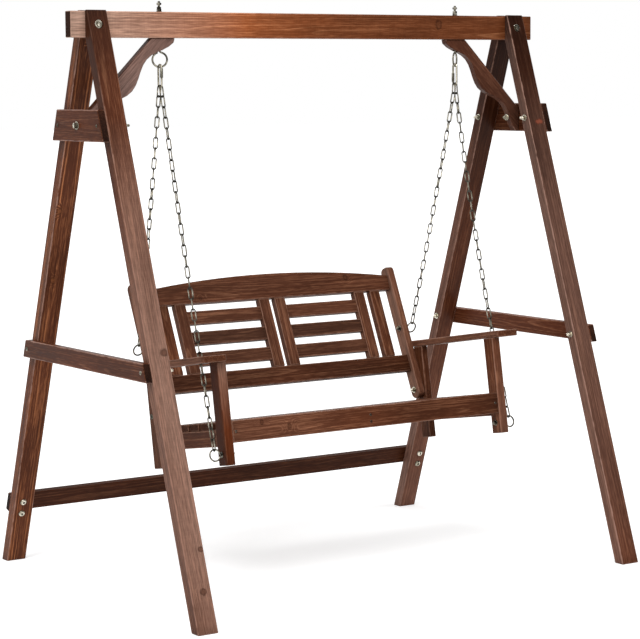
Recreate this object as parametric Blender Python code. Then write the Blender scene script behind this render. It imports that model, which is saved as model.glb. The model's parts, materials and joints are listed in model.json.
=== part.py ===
"""Garden swing: a wooden A-frame that carries a slatted two-seat bench on four chains.

Metres, +Z up. The origin is on the ground, midway between the feet. X runs along the beam,
and the bench faces -Y. Wood is sawn board with eased edges, and the metalwork is zinc-plated steel.
"""

import math

import bmesh
import bpy
from mathutils import Matrix, Vector

FIT_GAP = 0.0003
CUT_OVERRUN = 0.004
EDGE_EASE = 0.002

BEAM_LENGTH = 1.730
BEAM_HEIGHT = 0.078
BEAM_THICKNESS = 0.035
BEAM_TOP = 1.747

LEG_WIDTH = 0.066
LEG_THICKNESS = 0.037
LEG_ABOVE_BEAM = 0.003
LEG_FROM_BEAM_END = 0.047
FOOT_SPREAD = 1.245

UPPER_BRACE_HEIGHT = 0.0935
UPPER_BRACE_THICKNESS = 0.0235
UPPER_BRACE_BELOW_BEAM = 0.257

SIDE_RAIL_HEIGHT = 0.055
SIDE_RAIL_THICKNESS = 0.0235
SIDE_RAIL_MIDDLE = 0.715

STRETCHER_HEIGHT = 0.060
STRETCHER_THICKNESS = 0.020
STRETCHER_MIDDLE = 0.194
STRETCHER_BOLT_SPACING = 0.041
STRETCHER_BOLT_OUTWARD = 0.005

BRACKET_THICKNESS = 0.026
BRACKET_LEG = 0.227
BRACKET_BEAM_CONTACT = 0.080
BRACKET_BRACE_CONTACT = 0.075
BRACKET_MEAN_DEPTH = 0.048
BRACKET_WAVE_HEIGHT = 0.015
BRACKET_WAVE_LENGTH = 0.206
BRACKET_WAVE_END = 0.205
BRACKET_WAVE_STEPS = 20
BRACKET_SEAT_RADIUS = 0.011
BRACKET_SEAT_BELOW_BEAM = 0.0355

BOLT_RADIUS = 0.004
BOLT_HOLE_RADIUS = 0.0045
BOLT_END = 0.006
NUT_RADIUS = 0.0075
NUT_HEIGHT = 0.0065
WASHER_THICKNESS = 0.0016
APEX_HEAD_RADIUS = 0.0065
APEX_HEAD_HEIGHT = 0.0055
APEX_WASHER_RADIUS = 0.0125
APEX_SEAT_RADIUS = 0.0135
FRAME_HEAD_RADIUS = 0.0100
FRAME_HEAD_HEIGHT = 0.0045
FRAME_WASHER_RADIUS = 0.0105

BEAM_EYE_FROM_LEG = 0.2605
BEAM_EYE_OUTER_RADIUS = 0.025
BEAM_EYE_WIRE_RADIUS = 0.003
BEAM_EYE_BELOW_BEAM = 0.0645
BEAM_EYE_THREAD_ABOVE = 0.032
LEFT_EYE_TURN = math.radians(-34)
RIGHT_EYE_TURN = math.radians(37)

QUICK_LINK_LENGTH = 0.074
QUICK_LINK_WIDTH = 0.025
QUICK_LINK_WIRE_RADIUS = 0.003
QUICK_LINK_MOUTH = 0.008
SLEEVE_LENGTH = 0.028
SLEEVE_RADIUS = 0.0047
SLEEVE_BORE_RADIUS = 0.0037
SLEEVE_TO_BEND = 0.0015
SLEEVE_TO_MOUTH = 0.004

CHAIN_WIRE_RADIUS = 0.002
CHAIN_WIDTH = 0.016
CHAIN_WELD = 0.0005
CHAIN_SIDE_STEP = 0.0035
CHAIN_PITCH = 0.0323
FRONT_CHAIN_SAG = {"left": 0.004, "right": 0.018}
REAR_CHAIN_SAG = {"left": 0.007, "right": 0.004}

BENCH_TILT = math.radians(9.36)
BENCH_FOOT_FORWARD = 0.318
BENCH_FOOT_HEIGHT = 0.4096

BENCH_INSIDE_EYES = 0.0255
FRONT_POST_WIDTH = 0.031
FRONT_POST_DEPTH = 0.046
REAR_POST_WIDTH = 0.025
REAR_POST_DEPTH = 0.046
REAR_POST_SETBACK = 0.394
ARM_TOP = 0.3285
ARM_THICKNESS = 0.021
ARM_WIDTH = 0.086
ARM_FRONT_OVERHANG = 0.023
ARM_LENGTH = 0.515
ARM_CORNER_RADIUS = 0.012
ARM_CHAIN_HOLE_RADIUS = 0.012

SEAT_RAIL_THICKNESS = 0.024
SEAT_RAIL_BOTTOM = 0.0650
SEAT_RAIL_TOP = 0.1310
SEAT_SIDE_BOTTOM = 0.0565
SEAT_SIDE_HEIGHT = 0.0505
SEAT_SIDE_THICKNESS = 0.025
SEAT_BEARER_THICKNESS = 0.025
SEAT_BEARER_BOTTOM = 0.0720
SEAT_SLAT_COUNT = 6
SEAT_SLAT_END_SETBACK = 0.002
SEAT_SLAT_WIDTH = 0.053
SEAT_SLAT_THICKNESS = 0.0225
SEAT_SLAT_GAP = 0.0085
SEAT_SLAT_START = 0.0260

BACK_LEAN = math.radians(14.6)
BACK_FOOT_SETBACK = 0.357
STILE_WIDTH = 0.025
STILE_DEPTH = 0.045
STILE_BOTTOM = 0.1457
STILE_TOP = 0.6100
STILE_BOTTOM_RADIUS = 0.020
STILE_TOP_RADIUS = 0.015
BACK_RAIL_THICKNESS = 0.024
BACK_BOTTOM_RAIL_LOW = 0.2395
BACK_BOTTOM_RAIL_HIGH = 0.2965
BACK_TOP_RAIL_LOW = 0.5300
BACK_TOP_RAIL_END = 0.5810
BACK_TOP_RAIL_CENTRE = 0.6150
BACK_TOP_RAIL_STEPS = 16
PANEL_CENTRE_GAP = 0.021
PANEL_STILE_WIDTH = 0.040
PANEL_SLAT_COUNT = 3
PANEL_SLAT_HEIGHT = 0.0445
PANEL_SLAT_THICKNESS = 0.018
PANEL_TENON = 0.006
BATTEN_WIDTH = 0.040
BATTEN_TO_STILE = 0.0492
BATTEN_TO_PANEL = 0.0245

BENCH_EYE_OUTER_RADIUS = 0.020
BENCH_EYE_WIRE_RADIUS = 0.0025
BENCH_EYE_NECK = 0.004
BENCH_EYE_THREAD = 0.004
BENCH_EYE_WASHER_RADIUS = 0.0090
FRONT_EYE_HEIGHT = 0.034
REAR_EYE_HEIGHT = 0.392
REAR_EYE_DEPTH = 0.017
REAR_EYE_OUTER_RADIUS = 0.0195

WIRE_SIDES = 6
CHAIN_WIRE_SIDES = 4
RING_STEPS = 12
LOOP_END_STEPS = 4
CORNER_STEPS = 4
SMALL_BOLT_SIDES = 8
BIG_BOLT_SIDES = 12

QUARTER_TURN = math.pi / 2
SIDES = {"left": -1, "right": 1}


def solved_leg_slope():
    """Slope (dy/dz) at which a leg's inner face meets the beam's face at the beam's lower edge."""
    run = FOOT_SPREAD / 2 - BEAM_THICKNESS / 2 - FIT_GAP
    rise = BEAM_TOP - BEAM_HEIGHT
    thick = LEG_THICKNESS
    root = math.sqrt(run**2 + rise**2 - thick**2)
    return (run * rise - thick * root) / (rise**2 - thick**2)


LEG_SLOPE = solved_leg_slope()
LEG_ANGLE = math.atan(LEG_SLOPE)
BEAM_BOTTOM = BEAM_TOP - BEAM_HEIGHT
BEAM_MIDDLE = BEAM_TOP - BEAM_HEIGHT / 2
LEG_TOP = BEAM_TOP + LEG_ABOVE_BEAM
UPPER_BRACE_MIDDLE = BEAM_BOTTOM - UPPER_BRACE_BELOW_BEAM
LEG_OUTER_X = BEAM_LENGTH / 2 - LEG_FROM_BEAM_END
LEG_INNER_X = LEG_OUTER_X - LEG_WIDTH
LEG_MIDDLE_X = LEG_OUTER_X - LEG_WIDTH / 2
BEAM_EYE_X = LEG_OUTER_X - BEAM_EYE_FROM_LEG
BEAM_EYE_HEIGHT = BEAM_BOTTOM - BEAM_EYE_BELOW_BEAM
SWING_AXIS_HEIGHT = BEAM_EYE_HEIGHT - (BEAM_EYE_OUTER_RADIUS - BEAM_EYE_WIRE_RADIUS)
BENCH_X = BEAM_EYE_X - BENCH_INSIDE_EYES
STILE_OUTER_X = BENCH_X - REAR_POST_WIDTH - FIT_GAP
STILE_INNER_X = STILE_OUTER_X - STILE_WIDTH
BATTEN_INNER_X = STILE_INNER_X - BATTEN_TO_STILE - BATTEN_WIDTH


def finish(name, colour, roughness, metallic):
    """A plain surface: colour, roughness and metallic value."""
    material = bpy.data.materials.new(name)
    material.use_nodes = True
    surface = material.node_tree.nodes["Principled BSDF"]
    surface.inputs["Base Color"].default_value = (*colour, 1.0)
    surface.inputs["Roughness"].default_value = roughness
    surface.inputs["Metallic"].default_value = metallic
    return material


def axis_frame(name, matrix, parent=None):
    """An empty that carries pieces. Returns it with its matrix in the world."""
    empty = bpy.data.objects.new(name, None)
    bpy.context.scene.collection.objects.link(empty)
    world = matrix
    if parent:
        empty.parent = parent["empty"]
        world = parent["world"] @ matrix
    empty.matrix_basis = matrix
    return {"empty": empty, "world": world}


def add_object(name, shape, frame, place, material=None):
    """Links a bmesh as a named object under a frame, with its faces turned outwards."""
    bmesh.ops.recalc_face_normals(shape, faces=shape.faces)
    mesh = bpy.data.meshes.new(name)
    shape.to_mesh(mesh)
    shape.free()
    piece = bpy.data.objects.new(name, mesh)
    bpy.context.scene.collection.objects.link(piece)
    if frame:
        piece.parent = frame["empty"]
    piece.matrix_basis = place
    if material:
        mesh.materials.append(material)
    return piece


def smooth(piece):
    """Shades a turned or bent piece smooth between its sharp edges."""
    piece.data.shade_smooth()
    piece.data.set_sharp_from_angle(angle=math.radians(40))
    return piece


def ease_edges(piece, width=EDGE_EASE):
    """A small chamfer on every sharp edge of a board."""
    bevel = piece.modifiers.new("eased_edges", "BEVEL")
    bevel.width = width
    bevel.segments = 1
    bevel.limit_method = "ANGLE"
    bevel.angle_limit = math.radians(40)
    return piece


def make_helper(piece):
    """Keeps an object that only cuts or joins others out of the model."""
    piece.hide_render = True
    piece.display_type = "WIRE"
    return piece


def combine(piece, other, operation):
    """Adds an exact Boolean of another object to a piece."""
    boolean = piece.modifiers.new(other.name, "BOOLEAN")
    boolean.operation = operation
    boolean.object = make_helper(other)
    boolean.solver = "EXACT"
    return piece


def board(name, size, centre, frame, material, turn=0.0, eased=True):
    """A straight board, its size along X, Y and Z, turned about X around its centre."""
    shape = bmesh.new()
    bmesh.ops.create_cube(shape, size=1.0)
    bmesh.ops.scale(shape, vec=Vector(size), verts=shape.verts)
    place = Matrix.Translation(centre) @ Matrix.Rotation(turn, 4, "X")
    piece = add_object(name, shape, frame, place, material)
    return ease_edges(piece) if eased else piece


def prism(name, outline, start, end, plane, frame, material, place=None, eased=True):
    """A board cut to an outline in one plane, and as thick as from start to end across it."""
    at = {
        "YZ": lambda a, b, across: (across, a, b),
        "XZ": lambda a, b, across: (a, across, b),
        "XY": lambda a, b, across: (a, b, across),
    }[plane]
    shape = bmesh.new()
    near = [shape.verts.new(at(a, b, start)) for a, b in outline]
    far = [shape.verts.new(at(a, b, end)) for a, b in outline]
    shape.faces.new(near)
    shape.faces.new(far)
    for i, corner in enumerate(near):
        j = (i + 1) % len(near)
        shape.faces.new((corner, near[j], far[j], far[i]))
    piece = add_object(name, shape, frame, place or Matrix(), material)
    return ease_edges(piece) if eased else piece


def pointing(direction, across=None):
    """A rotation that takes +Z to a direction and, where given, +X to the side nearest across."""
    up = Vector(direction).normalized()
    side = Vector(across or up.orthogonal())
    side = (side - side.dot(up) * up).normalized()
    return Matrix((side, up.cross(side), up)).transposed().to_4x4()


def turned(name, profile, sides, frame, place, material):
    """A piece turned about its own Z from (radius, height) points that start and end on the axis."""
    shape = bmesh.new()
    rings = []
    for radius, height in profile:
        if radius == 0:
            rings.append([shape.verts.new((0, 0, height))])
            continue
        ring = []
        for k in range(sides):
            angle = 2 * math.pi * k / sides
            ring.append(shape.verts.new((radius * math.cos(angle), radius * math.sin(angle), height)))
        rings.append(ring)
    for low, high in zip(rings, rings[1:]):
        for k in range(sides):
            corners = [low[k % len(low)], low[(k + 1) % sides % len(low)]]
            corners += [high[(k + 1) % sides % len(high)], high[k % len(high)]]
            shape.faces.new(list(dict.fromkeys(corners)))
    return smooth(add_object(name, shape, frame, place, material))


def swept_loop(shape, path, plane_normal, radius, sides):
    """A closed wire of a few flat sides along a flat loop of points, with mitred corners."""
    normal = Vector(plane_normal).normalized()
    count = len(path)
    rings = []
    for k, point in enumerate(path):
        before = (point - path[k - 1]).normalized()
        after = (path[(k + 1) % count] - point).normalized()
        outward = (before + after).normalized().cross(normal)
        mitre = 1 / math.cos(before.angle(after) / 2)
        ring = []
        for s in range(sides):
            angle = 2 * math.pi * s / sides
            offset = outward * (mitre * math.cos(angle)) + normal * math.sin(angle)
            ring.append(shape.verts.new(point + radius * offset))
        rings.append(ring)
    for k, ring in enumerate(rings):
        following = rings[(k + 1) % count]
        for s in range(sides):
            t = (s + 1) % sides
            shape.faces.new((ring[s], ring[t], following[t], following[s]))


def oblong(length, width, centre, along, across, steps):
    """Points of an oblong loop with round ends: its overall length and width, and steps per end."""
    radius = width / 2
    straight = length / 2 - radius
    flat = radius / math.cos(math.pi / (2 * steps))
    points = []
    for end in (1, -1):
        for k in range(steps):
            angle = math.pi * (k + 0.5) / steps
            sideways = across * (end * flat * math.cos(angle))
            lengthways = along * (end * (straight + flat * math.sin(angle)))
            points.append(centre + sideways + lengthways)
    return points


def hole(piece, centre, direction, radius, length, frame, sides=SMALL_BOLT_SIDES):
    """A round hole through a piece, centred on a point of the frame that carries the piece."""
    half = length / 2 + CUT_OVERRUN
    place = Matrix.Translation(centre) @ pointing(direction)
    profile = [(0, -half), (radius, -half), (radius, half), (0, half)]
    name = piece.name + "_hole_" + str(len(piece.modifiers))
    cutter = turned(name, profile, sides, frame, place, None)
    return combine(piece, cutter, "DIFFERENCE")


def bolt(name, start, direction, grip, head, washer_radius, sides, frame, material):
    """A through bolt with its washers and nut. It starts under the head and clamps over grip."""
    head_radius, head_height = head
    washer = WASHER_THICKNESS
    nut_top = grip + washer + NUT_HEIGHT
    profile = [
        (0, -washer - head_height),
        (head_radius, -washer - head_height),
        (head_radius, -washer),
        (washer_radius, -washer),
        (washer_radius, -FIT_GAP),
        (BOLT_RADIUS, -FIT_GAP),
        (BOLT_RADIUS, grip + FIT_GAP),
        (washer_radius, grip + FIT_GAP),
        (washer_radius, grip + washer),
        (NUT_RADIUS, grip + washer),
        (NUT_RADIUS, nut_top),
        (BOLT_RADIUS, nut_top),
        (BOLT_RADIUS, nut_top + BOLT_END),
        (0, nut_top + BOLT_END),
    ]
    place = Matrix.Translation(start) @ pointing(direction)
    return turned(name, profile, sides, frame, place, material)


def eye_bolt(name, seat, direction, ring_plane, sizes, frame, material):
    """A ring on a threaded shank. The shank runs from its seat along a direction, away from the ring.

    sizes holds the ring's outer radius, its wire's radius, the neck between ring and seat,
    the length that the nuts clamp, the washer's radius and the thread past the nut.
    """
    outer, wire, neck, grip, washer_radius, end = sizes
    back = Vector(direction).normalized()
    middle = outer - wire
    ring = bmesh.new()
    centre = Vector((0, 0, -neck - outer))
    flat = middle / math.cos(math.pi / RING_STEPS)
    loop = []
    for k in range(RING_STEPS):
        angle = 2 * math.pi * (k + 0.5) / RING_STEPS
        loop.append(centre + Vector((flat * math.cos(angle), 0, flat * math.sin(angle))))
    swept_loop(ring, loop, (0, 1, 0), wire, WIRE_SIDES)
    place = Matrix.Translation(seat) @ pointing(back, ring_plane)
    piece = smooth(add_object(name, ring, frame, place, material))
    nut_top = grip + WASHER_THICKNESS + NUT_HEIGHT
    profile = [
        (0, -neck - wire),
        (BOLT_RADIUS, -neck - wire),
        (BOLT_RADIUS, -WASHER_THICKNESS),
        (washer_radius, -WASHER_THICKNESS),
        (washer_radius, -FIT_GAP),
        (BOLT_RADIUS, -FIT_GAP),
        (BOLT_RADIUS, grip + FIT_GAP),
        (washer_radius, grip + FIT_GAP),
        (washer_radius, grip + WASHER_THICKNESS),
        (NUT_RADIUS, grip + WASHER_THICKNESS),
        (NUT_RADIUS, nut_top),
        (BOLT_RADIUS, nut_top),
        (BOLT_RADIUS, nut_top + end),
        (0, nut_top + end),
    ]
    shank = turned(name + "_shank", profile, SMALL_BOLT_SIDES, frame, place, None)
    return combine(piece, shank, "UNION")


def leg_outer_y(height):
    """How far a leg's outer face stands from the middle at a height."""
    return FOOT_SPREAD / 2 - height * LEG_SLOPE


def leg_middle_y(height):
    """The middle of a leg's thickness at a height."""
    return leg_outer_y(height) - LEG_THICKNESS / (2 * math.cos(LEG_ANGLE))


def leg_outline(front):
    """A leg seen from the side: level foot and top, and a wedge cut that lies against the beam."""
    across = LEG_THICKNESS / math.cos(LEG_ANGLE)
    beam_face = BEAM_THICKNESS / 2 + FIT_GAP
    points = [
        (leg_outer_y(0), 0),
        (leg_outer_y(0) - across, 0),
        (beam_face, (leg_outer_y(0) - across - beam_face) / LEG_SLOPE),
        (beam_face, LEG_TOP),
        (leg_outer_y(LEG_TOP), LEG_TOP),
    ]
    return [(-y, z) if front else (y, z) for y, z in points]


def apex_seat_depth():
    """Distance from the middle to the flat seat that a bolt's washer needs in a sloping leg."""
    return leg_outer_y(BEAM_MIDDLE + APEX_SEAT_RADIUS)


def cross_board_outline(middle, height):
    """A board across both legs of one side, its ends cut along the legs' outer faces."""
    low = middle - height / 2
    high = middle + height / 2
    return [
        (-leg_outer_y(low), low),
        (leg_outer_y(low), low),
        (leg_outer_y(high), high),
        (-leg_outer_y(high), high),
    ]


def bracket_outline(side):
    """The corner bracket from the front: straight on top, and a wave with three swells below."""
    corner = Vector((LEG_OUTER_X - FIT_GAP, BEAM_BOTTOM - FIT_GAP))
    top_outer = corner - Vector((BRACKET_LEG, 0))
    brace_high = corner - Vector((0, BRACKET_LEG))
    along = (brace_high - top_outer).normalized()
    inward = Vector((along.y, -along.x))
    middle = (top_outer + brace_high) / 2
    points = [top_outer, top_outer - Vector((BRACKET_BEAM_CONTACT, 0))]
    for k in range(BRACKET_WAVE_STEPS + 1):
        run = BRACKET_WAVE_END * (2 * k / BRACKET_WAVE_STEPS - 1)
        swell = math.cos(2 * math.pi * run / BRACKET_WAVE_LENGTH)
        depth = BRACKET_MEAN_DEPTH + BRACKET_WAVE_HEIGHT * swell
        points.append(middle + along * run + inward * depth)
    points += [brace_high - Vector((0, BRACKET_BRACE_CONTACT)), brace_high]
    return [(side * x, z) for x, z in points]


def bracket_underside(outline, height):
    """Where the bracket's wavy edge crosses a height, as a distance from the swing's middle."""
    for (x0, z0), (x1, z1) in zip(outline[2:], outline[3:]):
        if min(z0, z1) <= height <= max(z0, z1) and z0 != z1:
            share = (height - z0) / (z1 - z0)
            return abs(x0 + share * (x1 - x0))
    return abs(outline[-2][0])


def build_beam(ground, wood):
    """The top beam, bored for the apex bolts and the eye bolts."""
    beam = board("beam", (BEAM_LENGTH, BEAM_THICKNESS, BEAM_HEIGHT), (0, 0, BEAM_MIDDLE), ground, wood)
    for side in SIDES.values():
        at = (side * LEG_MIDDLE_X, 0, BEAM_MIDDLE)
        hole(beam, at, (0, 1, 0), BOLT_HOLE_RADIUS, BEAM_THICKNESS, ground, BIG_BOLT_SIDES)
        at = (side * BEAM_EYE_X, 0, BEAM_MIDDLE)
        hole(beam, at, (0, 0, 1), BOLT_HOLE_RADIUS, BEAM_HEIGHT, ground)


def stretcher_bolt_places(side):
    """Where a stretcher's bolts cross the outer face of a back leg."""
    up = Vector((0, -math.sin(LEG_ANGLE), math.cos(LEG_ANGLE)))
    x = side * (LEG_MIDDLE_X + STRETCHER_BOLT_OUTWARD)
    middle = Vector((x, leg_outer_y(STRETCHER_MIDDLE), STRETCHER_MIDDLE))
    return [middle + up * (step * STRETCHER_BOLT_SPACING / 2) for step in (1, -1)]


def build_legs(ground, wood):
    """Four legs, with the holes and washer seats of the bolts that the model holds."""
    seat_depth = apex_seat_depth()
    for side_name, side in SIDES.items():
        for end_name, front in (("front", True), ("back", False)):
            name = "leg_" + end_name + "_" + side_name
            start, end = side * LEG_INNER_X, side * LEG_OUTER_X
            leg = prism(name, leg_outline(front), start, end, "YZ", ground, wood)
            face = -1 if front else 1
            at = (side * LEG_MIDDLE_X, face * seat_depth / 2, BEAM_MIDDLE)
            hole(leg, at, (0, 1, 0), BOLT_HOLE_RADIUS, seat_depth, ground, BIG_BOLT_SIDES)
            far = seat_depth + LEG_THICKNESS
            at = (side * LEG_MIDDLE_X, face * (far + CUT_OVERRUN), BEAM_MIDDLE)
            hole(leg, at, (0, 1, 0), APEX_SEAT_RADIUS, 2 * LEG_THICKNESS, ground, BIG_BOLT_SIDES)
            if front:
                continue
            outward = Vector((0, math.cos(LEG_ANGLE), math.sin(LEG_ANGLE)))
            for place in stretcher_bolt_places(side):
                at = place - outward * LEG_THICKNESS / 2
                hole(leg, at, outward, BOLT_HOLE_RADIUS, LEG_THICKNESS, ground)


def build_side_boards(ground, wood):
    """The upper braces and the side rails on the outer faces of the legs."""
    start = LEG_OUTER_X + FIT_GAP
    for side_name, side in SIDES.items():
        outline = cross_board_outline(UPPER_BRACE_MIDDLE, UPPER_BRACE_HEIGHT)
        end = start + UPPER_BRACE_THICKNESS
        name = "upper_brace_" + side_name
        brace = prism(name, outline, side * start, side * end, "YZ", ground, wood)
        at = (side * (start + end) / 2, 0, UPPER_BRACE_MIDDLE)
        hole(brace, at, (1, 0, 0), BOLT_HOLE_RADIUS, UPPER_BRACE_THICKNESS, ground)
        outline = cross_board_outline(SIDE_RAIL_MIDDLE, SIDE_RAIL_HEIGHT)
        end = start + SIDE_RAIL_THICKNESS
        prism("side_rail_" + side_name, outline, side * start, side * end, "YZ", ground, wood)


def build_stretcher(ground, wood):
    """The low board across the back faces of the back legs, and its four bolts."""
    outward = Vector((0, math.cos(LEG_ANGLE), math.sin(LEG_ANGLE)))
    face = Vector((0, leg_outer_y(STRETCHER_MIDDLE), STRETCHER_MIDDLE))
    centre = face + outward * (STRETCHER_THICKNESS / 2 + FIT_GAP)
    size = (2 * LEG_OUTER_X, STRETCHER_THICKNESS, STRETCHER_HEIGHT)
    stretcher = board("rear_stretcher", size, centre, ground, wood, turn=LEG_ANGLE)
    for side in SIDES.values():
        for place in stretcher_bolt_places(side):
            at = place + outward * STRETCHER_THICKNESS / 2
            hole(stretcher, at, outward, BOLT_HOLE_RADIUS, STRETCHER_THICKNESS, ground)


def build_brackets(ground, wood):
    """The two corner brackets, bored for the eye bolt above and for the brace's bolt at the side."""
    for side_name, side in SIDES.items():
        outline = bracket_outline(side)
        half = BRACKET_THICKNESS / 2
        bracket = prism("corner_bracket_" + side_name, outline, -half, half, "XZ", ground, wood)
        at = (side * BEAM_EYE_X, 0, BEAM_BOTTOM - BRACKET_SEAT_BELOW_BEAM / 2)
        hole(bracket, at, (0, 0, 1), BOLT_HOLE_RADIUS, BRACKET_SEAT_BELOW_BEAM, ground)
        seat = BEAM_BOTTOM - BRACKET_SEAT_BELOW_BEAM
        radius = BRACKET_SEAT_RADIUS
        at = (side * BEAM_EYE_X, 0, seat - radius - CUT_OVERRUN)
        hole(bracket, at, (0, 0, 1), radius, 2 * radius, ground, BIG_BOLT_SIDES)
        reach = LEG_OUTER_X - bracket_underside(outline, UPPER_BRACE_MIDDLE)
        at = (side * (LEG_OUTER_X - reach / 2), 0, UPPER_BRACE_MIDDLE)
        hole(bracket, at, (1, 0, 0), BOLT_HOLE_RADIUS, reach, ground)


def build_frame_bolts(ground, steel):
    """The bolts through both leg tops, through the brackets' lower ends and through the stretcher."""
    apex_head = (APEX_HEAD_RADIUS, APEX_HEAD_HEIGHT)
    frame_head = (FRAME_HEAD_RADIUS, FRAME_HEAD_HEIGHT)
    seat_depth = apex_seat_depth()
    outward = Vector((0, math.cos(LEG_ANGLE), math.sin(LEG_ANGLE)))
    for side_name, side in SIDES.items():
        start = (side * LEG_MIDDLE_X, -seat_depth, BEAM_MIDDLE)
        name = "apex_bolt_" + side_name
        washer = APEX_WASHER_RADIUS
        bolt(name, start, (0, 1, 0), 2 * seat_depth, apex_head, washer, BIG_BOLT_SIDES, ground, steel)
        outer = LEG_OUTER_X + FIT_GAP + UPPER_BRACE_THICKNESS
        inner = bracket_underside(bracket_outline(side), UPPER_BRACE_MIDDLE + FRAME_WASHER_RADIUS)
        start = (side * outer, 0, UPPER_BRACE_MIDDLE)
        grip = outer - inner
        name = "bracket_bolt_" + side_name
        washer = FRAME_WASHER_RADIUS
        bolt(name, start, (-side, 0, 0), grip, frame_head, washer, SMALL_BOLT_SIDES, ground, steel)
        for level, place in zip(("upper", "lower"), stretcher_bolt_places(side)):
            start = place - outward * LEG_THICKNESS
            grip = LEG_THICKNESS + FIT_GAP + STRETCHER_THICKNESS
            name = "stretcher_bolt_" + level + "_" + side_name
            bolt(name, start, outward, grip, frame_head, washer, SMALL_BOLT_SIDES, ground, steel)


def build_beam_eyes(ground, steel):
    """The two vertical eye bolts that clamp beam and bracket and carry the swing."""
    under = BEAM_BOTTOM - BRACKET_SEAT_BELOW_BEAM
    neck = under - BEAM_EYE_HEIGHT - BEAM_EYE_OUTER_RADIUS
    end = BEAM_EYE_THREAD_ABOVE - WASHER_THICKNESS - NUT_HEIGHT
    sizes = (
        BEAM_EYE_OUTER_RADIUS,
        BEAM_EYE_WIRE_RADIUS,
        neck,
        BEAM_TOP - under,
        BENCH_EYE_WASHER_RADIUS,
        end,
    )
    for (side_name, side), turn in zip(SIDES.items(), (LEFT_EYE_TURN, RIGHT_EYE_TURN)):
        seat = (side * BEAM_EYE_X, 0, under)
        plane = (math.cos(turn), math.sin(turn), 0)
        eye_bolt("beam_eye_bolt_" + side_name, seat, (0, 0, 1), plane, sizes, ground, steel)


def build_quick_links(swing, steel):
    """The oblong links that hang in the eye bolts, each with a mouth that a sleeve closes."""
    wire = QUICK_LINK_WIRE_RADIUS
    top = BEAM_EYE_WIRE_RADIUS + 2 * wire + FIT_GAP
    straight_y = QUICK_LINK_WIDTH / 2 - wire
    bend = QUICK_LINK_WIDTH / 2
    for side_name, side in SIDES.items():
        centre = Vector((side * BEAM_EYE_X, 0, top - QUICK_LINK_LENGTH / 2))
        link = bmesh.new()
        length = QUICK_LINK_LENGTH - 2 * wire
        up = Vector((0, 0, 1))
        back = Vector((0, 1, 0))
        path = oblong(length, 2 * straight_y, centre, up, back, LOOP_END_STEPS)
        swept_loop(link, path, (1, 0, 0), wire, WIRE_SIDES)
        piece = smooth(add_object("quick_link_" + side_name, link, swing, Matrix(), steel))
        face = side
        near_top = -side
        sleeve_end = near_top * (QUICK_LINK_LENGTH / 2 - bend - SLEEVE_TO_BEND)
        mouth = sleeve_end - near_top * (SLEEVE_TO_MOUTH + QUICK_LINK_MOUTH / 2)
        size = (4 * wire, 4 * wire, QUICK_LINK_MOUTH)
        at = centre + Vector((0, face * straight_y, mouth))
        cutter = board("quick_link_mouth_" + side_name, size, at, swing, None, eased=False)
        combine(piece, cutter, "DIFFERENCE")
        middle = sleeve_end - near_top * SLEEVE_LENGTH / 2
        at = centre + Vector((0, face * straight_y, middle))
        build_sleeve("quick_link_sleeve_" + side_name, at, swing, steel)


def build_sleeve(name, centre, swing, steel):
    """The threaded sleeve of a quick link: a short tube around the link's straight side."""
    slider = axis_frame(name + "_slide", Matrix.Translation(centre), swing)
    half = SLEEVE_LENGTH / 2
    profile = [(0, -half), (SLEEVE_RADIUS, -half), (SLEEVE_RADIUS, half), (0, half)]
    sleeve = turned(name, profile, SMALL_BOLT_SIDES, slider, Matrix(), steel)
    hole(sleeve, (0, 0, 0), (0, 0, 1), SLEEVE_BORE_RADIUS, SLEEVE_LENGTH, slider)


def chain_line(start, end, sag):
    """A parabola that sags a little below a chord. Returns its point and direction at a share."""
    chord = end - start
    unit = chord.normalized()
    below = (Vector((0, 0, -1)) + unit * unit.z).normalized()

    def point(share):
        return start + chord * share + below * (4 * sag * share * (1 - share))

    def direction(share):
        return (chord + below * (4 * sag * (1 - 2 * share))).normalized()

    return point, direction


def chain(name, start, end, sag, swing, steel):
    """A chain of welded links, from its top link's upper wire to its bottom link's lower wire.

    The number of links is even, so that the top link hangs square to its quick link and the
    bottom link square to its ring.
    """
    point, direction = chain_line(start, end, sag)
    length = (end - start).length
    links = 2 * round(length / (2 * CHAIN_PITCH))
    wire = CHAIN_WIRE_RADIUS
    lap = 2 * wire - CHAIN_WELD
    pitch = (length - lap) / links
    shapes = (bmesh.new(), bmesh.new())
    for k in range(links):
        share = (k * pitch + (pitch + lap) / 2) / length
        down = direction(share)
        across = (Vector((1, 0, 0)) - down.x * down).normalized()
        sideways = down.cross(across)
        wide, normal = (across, sideways) if k % 2 == 0 else (sideways, across)
        path = oblong(pitch + lap, CHAIN_WIDTH - 2 * wire, point(share), down, wide, LOOP_END_STEPS)
        swept_loop(shapes[k % 2], path, normal, wire, CHAIN_WIRE_SIDES)
    piece = smooth(add_object(name, shapes[0], swing, Matrix(), steel))
    others = add_object(name + "_other_links", shapes[1], swing, Matrix())
    return combine(piece, others, "UNION")


def chain_top(side, face):
    """Where the top wire of a chain rests in the lower bend of its quick link, from the swing axis."""
    wire = QUICK_LINK_WIRE_RADIUS
    top = BEAM_EYE_WIRE_RADIUS + 2 * wire + FIT_GAP
    bend_centre = top - QUICK_LINK_LENGTH + QUICK_LINK_WIDTH / 2
    reach = QUICK_LINK_WIDTH / 2 - 2 * wire - CHAIN_WIRE_RADIUS - FIT_GAP
    drop = math.sqrt(reach**2 - CHAIN_SIDE_STEP**2)
    return Vector((side * BEAM_EYE_X, face * CHAIN_SIDE_STEP, bend_centre - drop))


def chain_ends(eye, side, face):
    """The two ends of a chain, in the swing's frame, from its quick link to its eye bolt's ring."""
    centre, outer = eye
    start = chain_top(side, face)
    hold = outer - 2 * BENCH_EYE_WIRE_RADIUS - CHAIN_WIRE_RADIUS - FIT_GAP
    return start, centre + (start - centre).normalized() * hold


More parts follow.
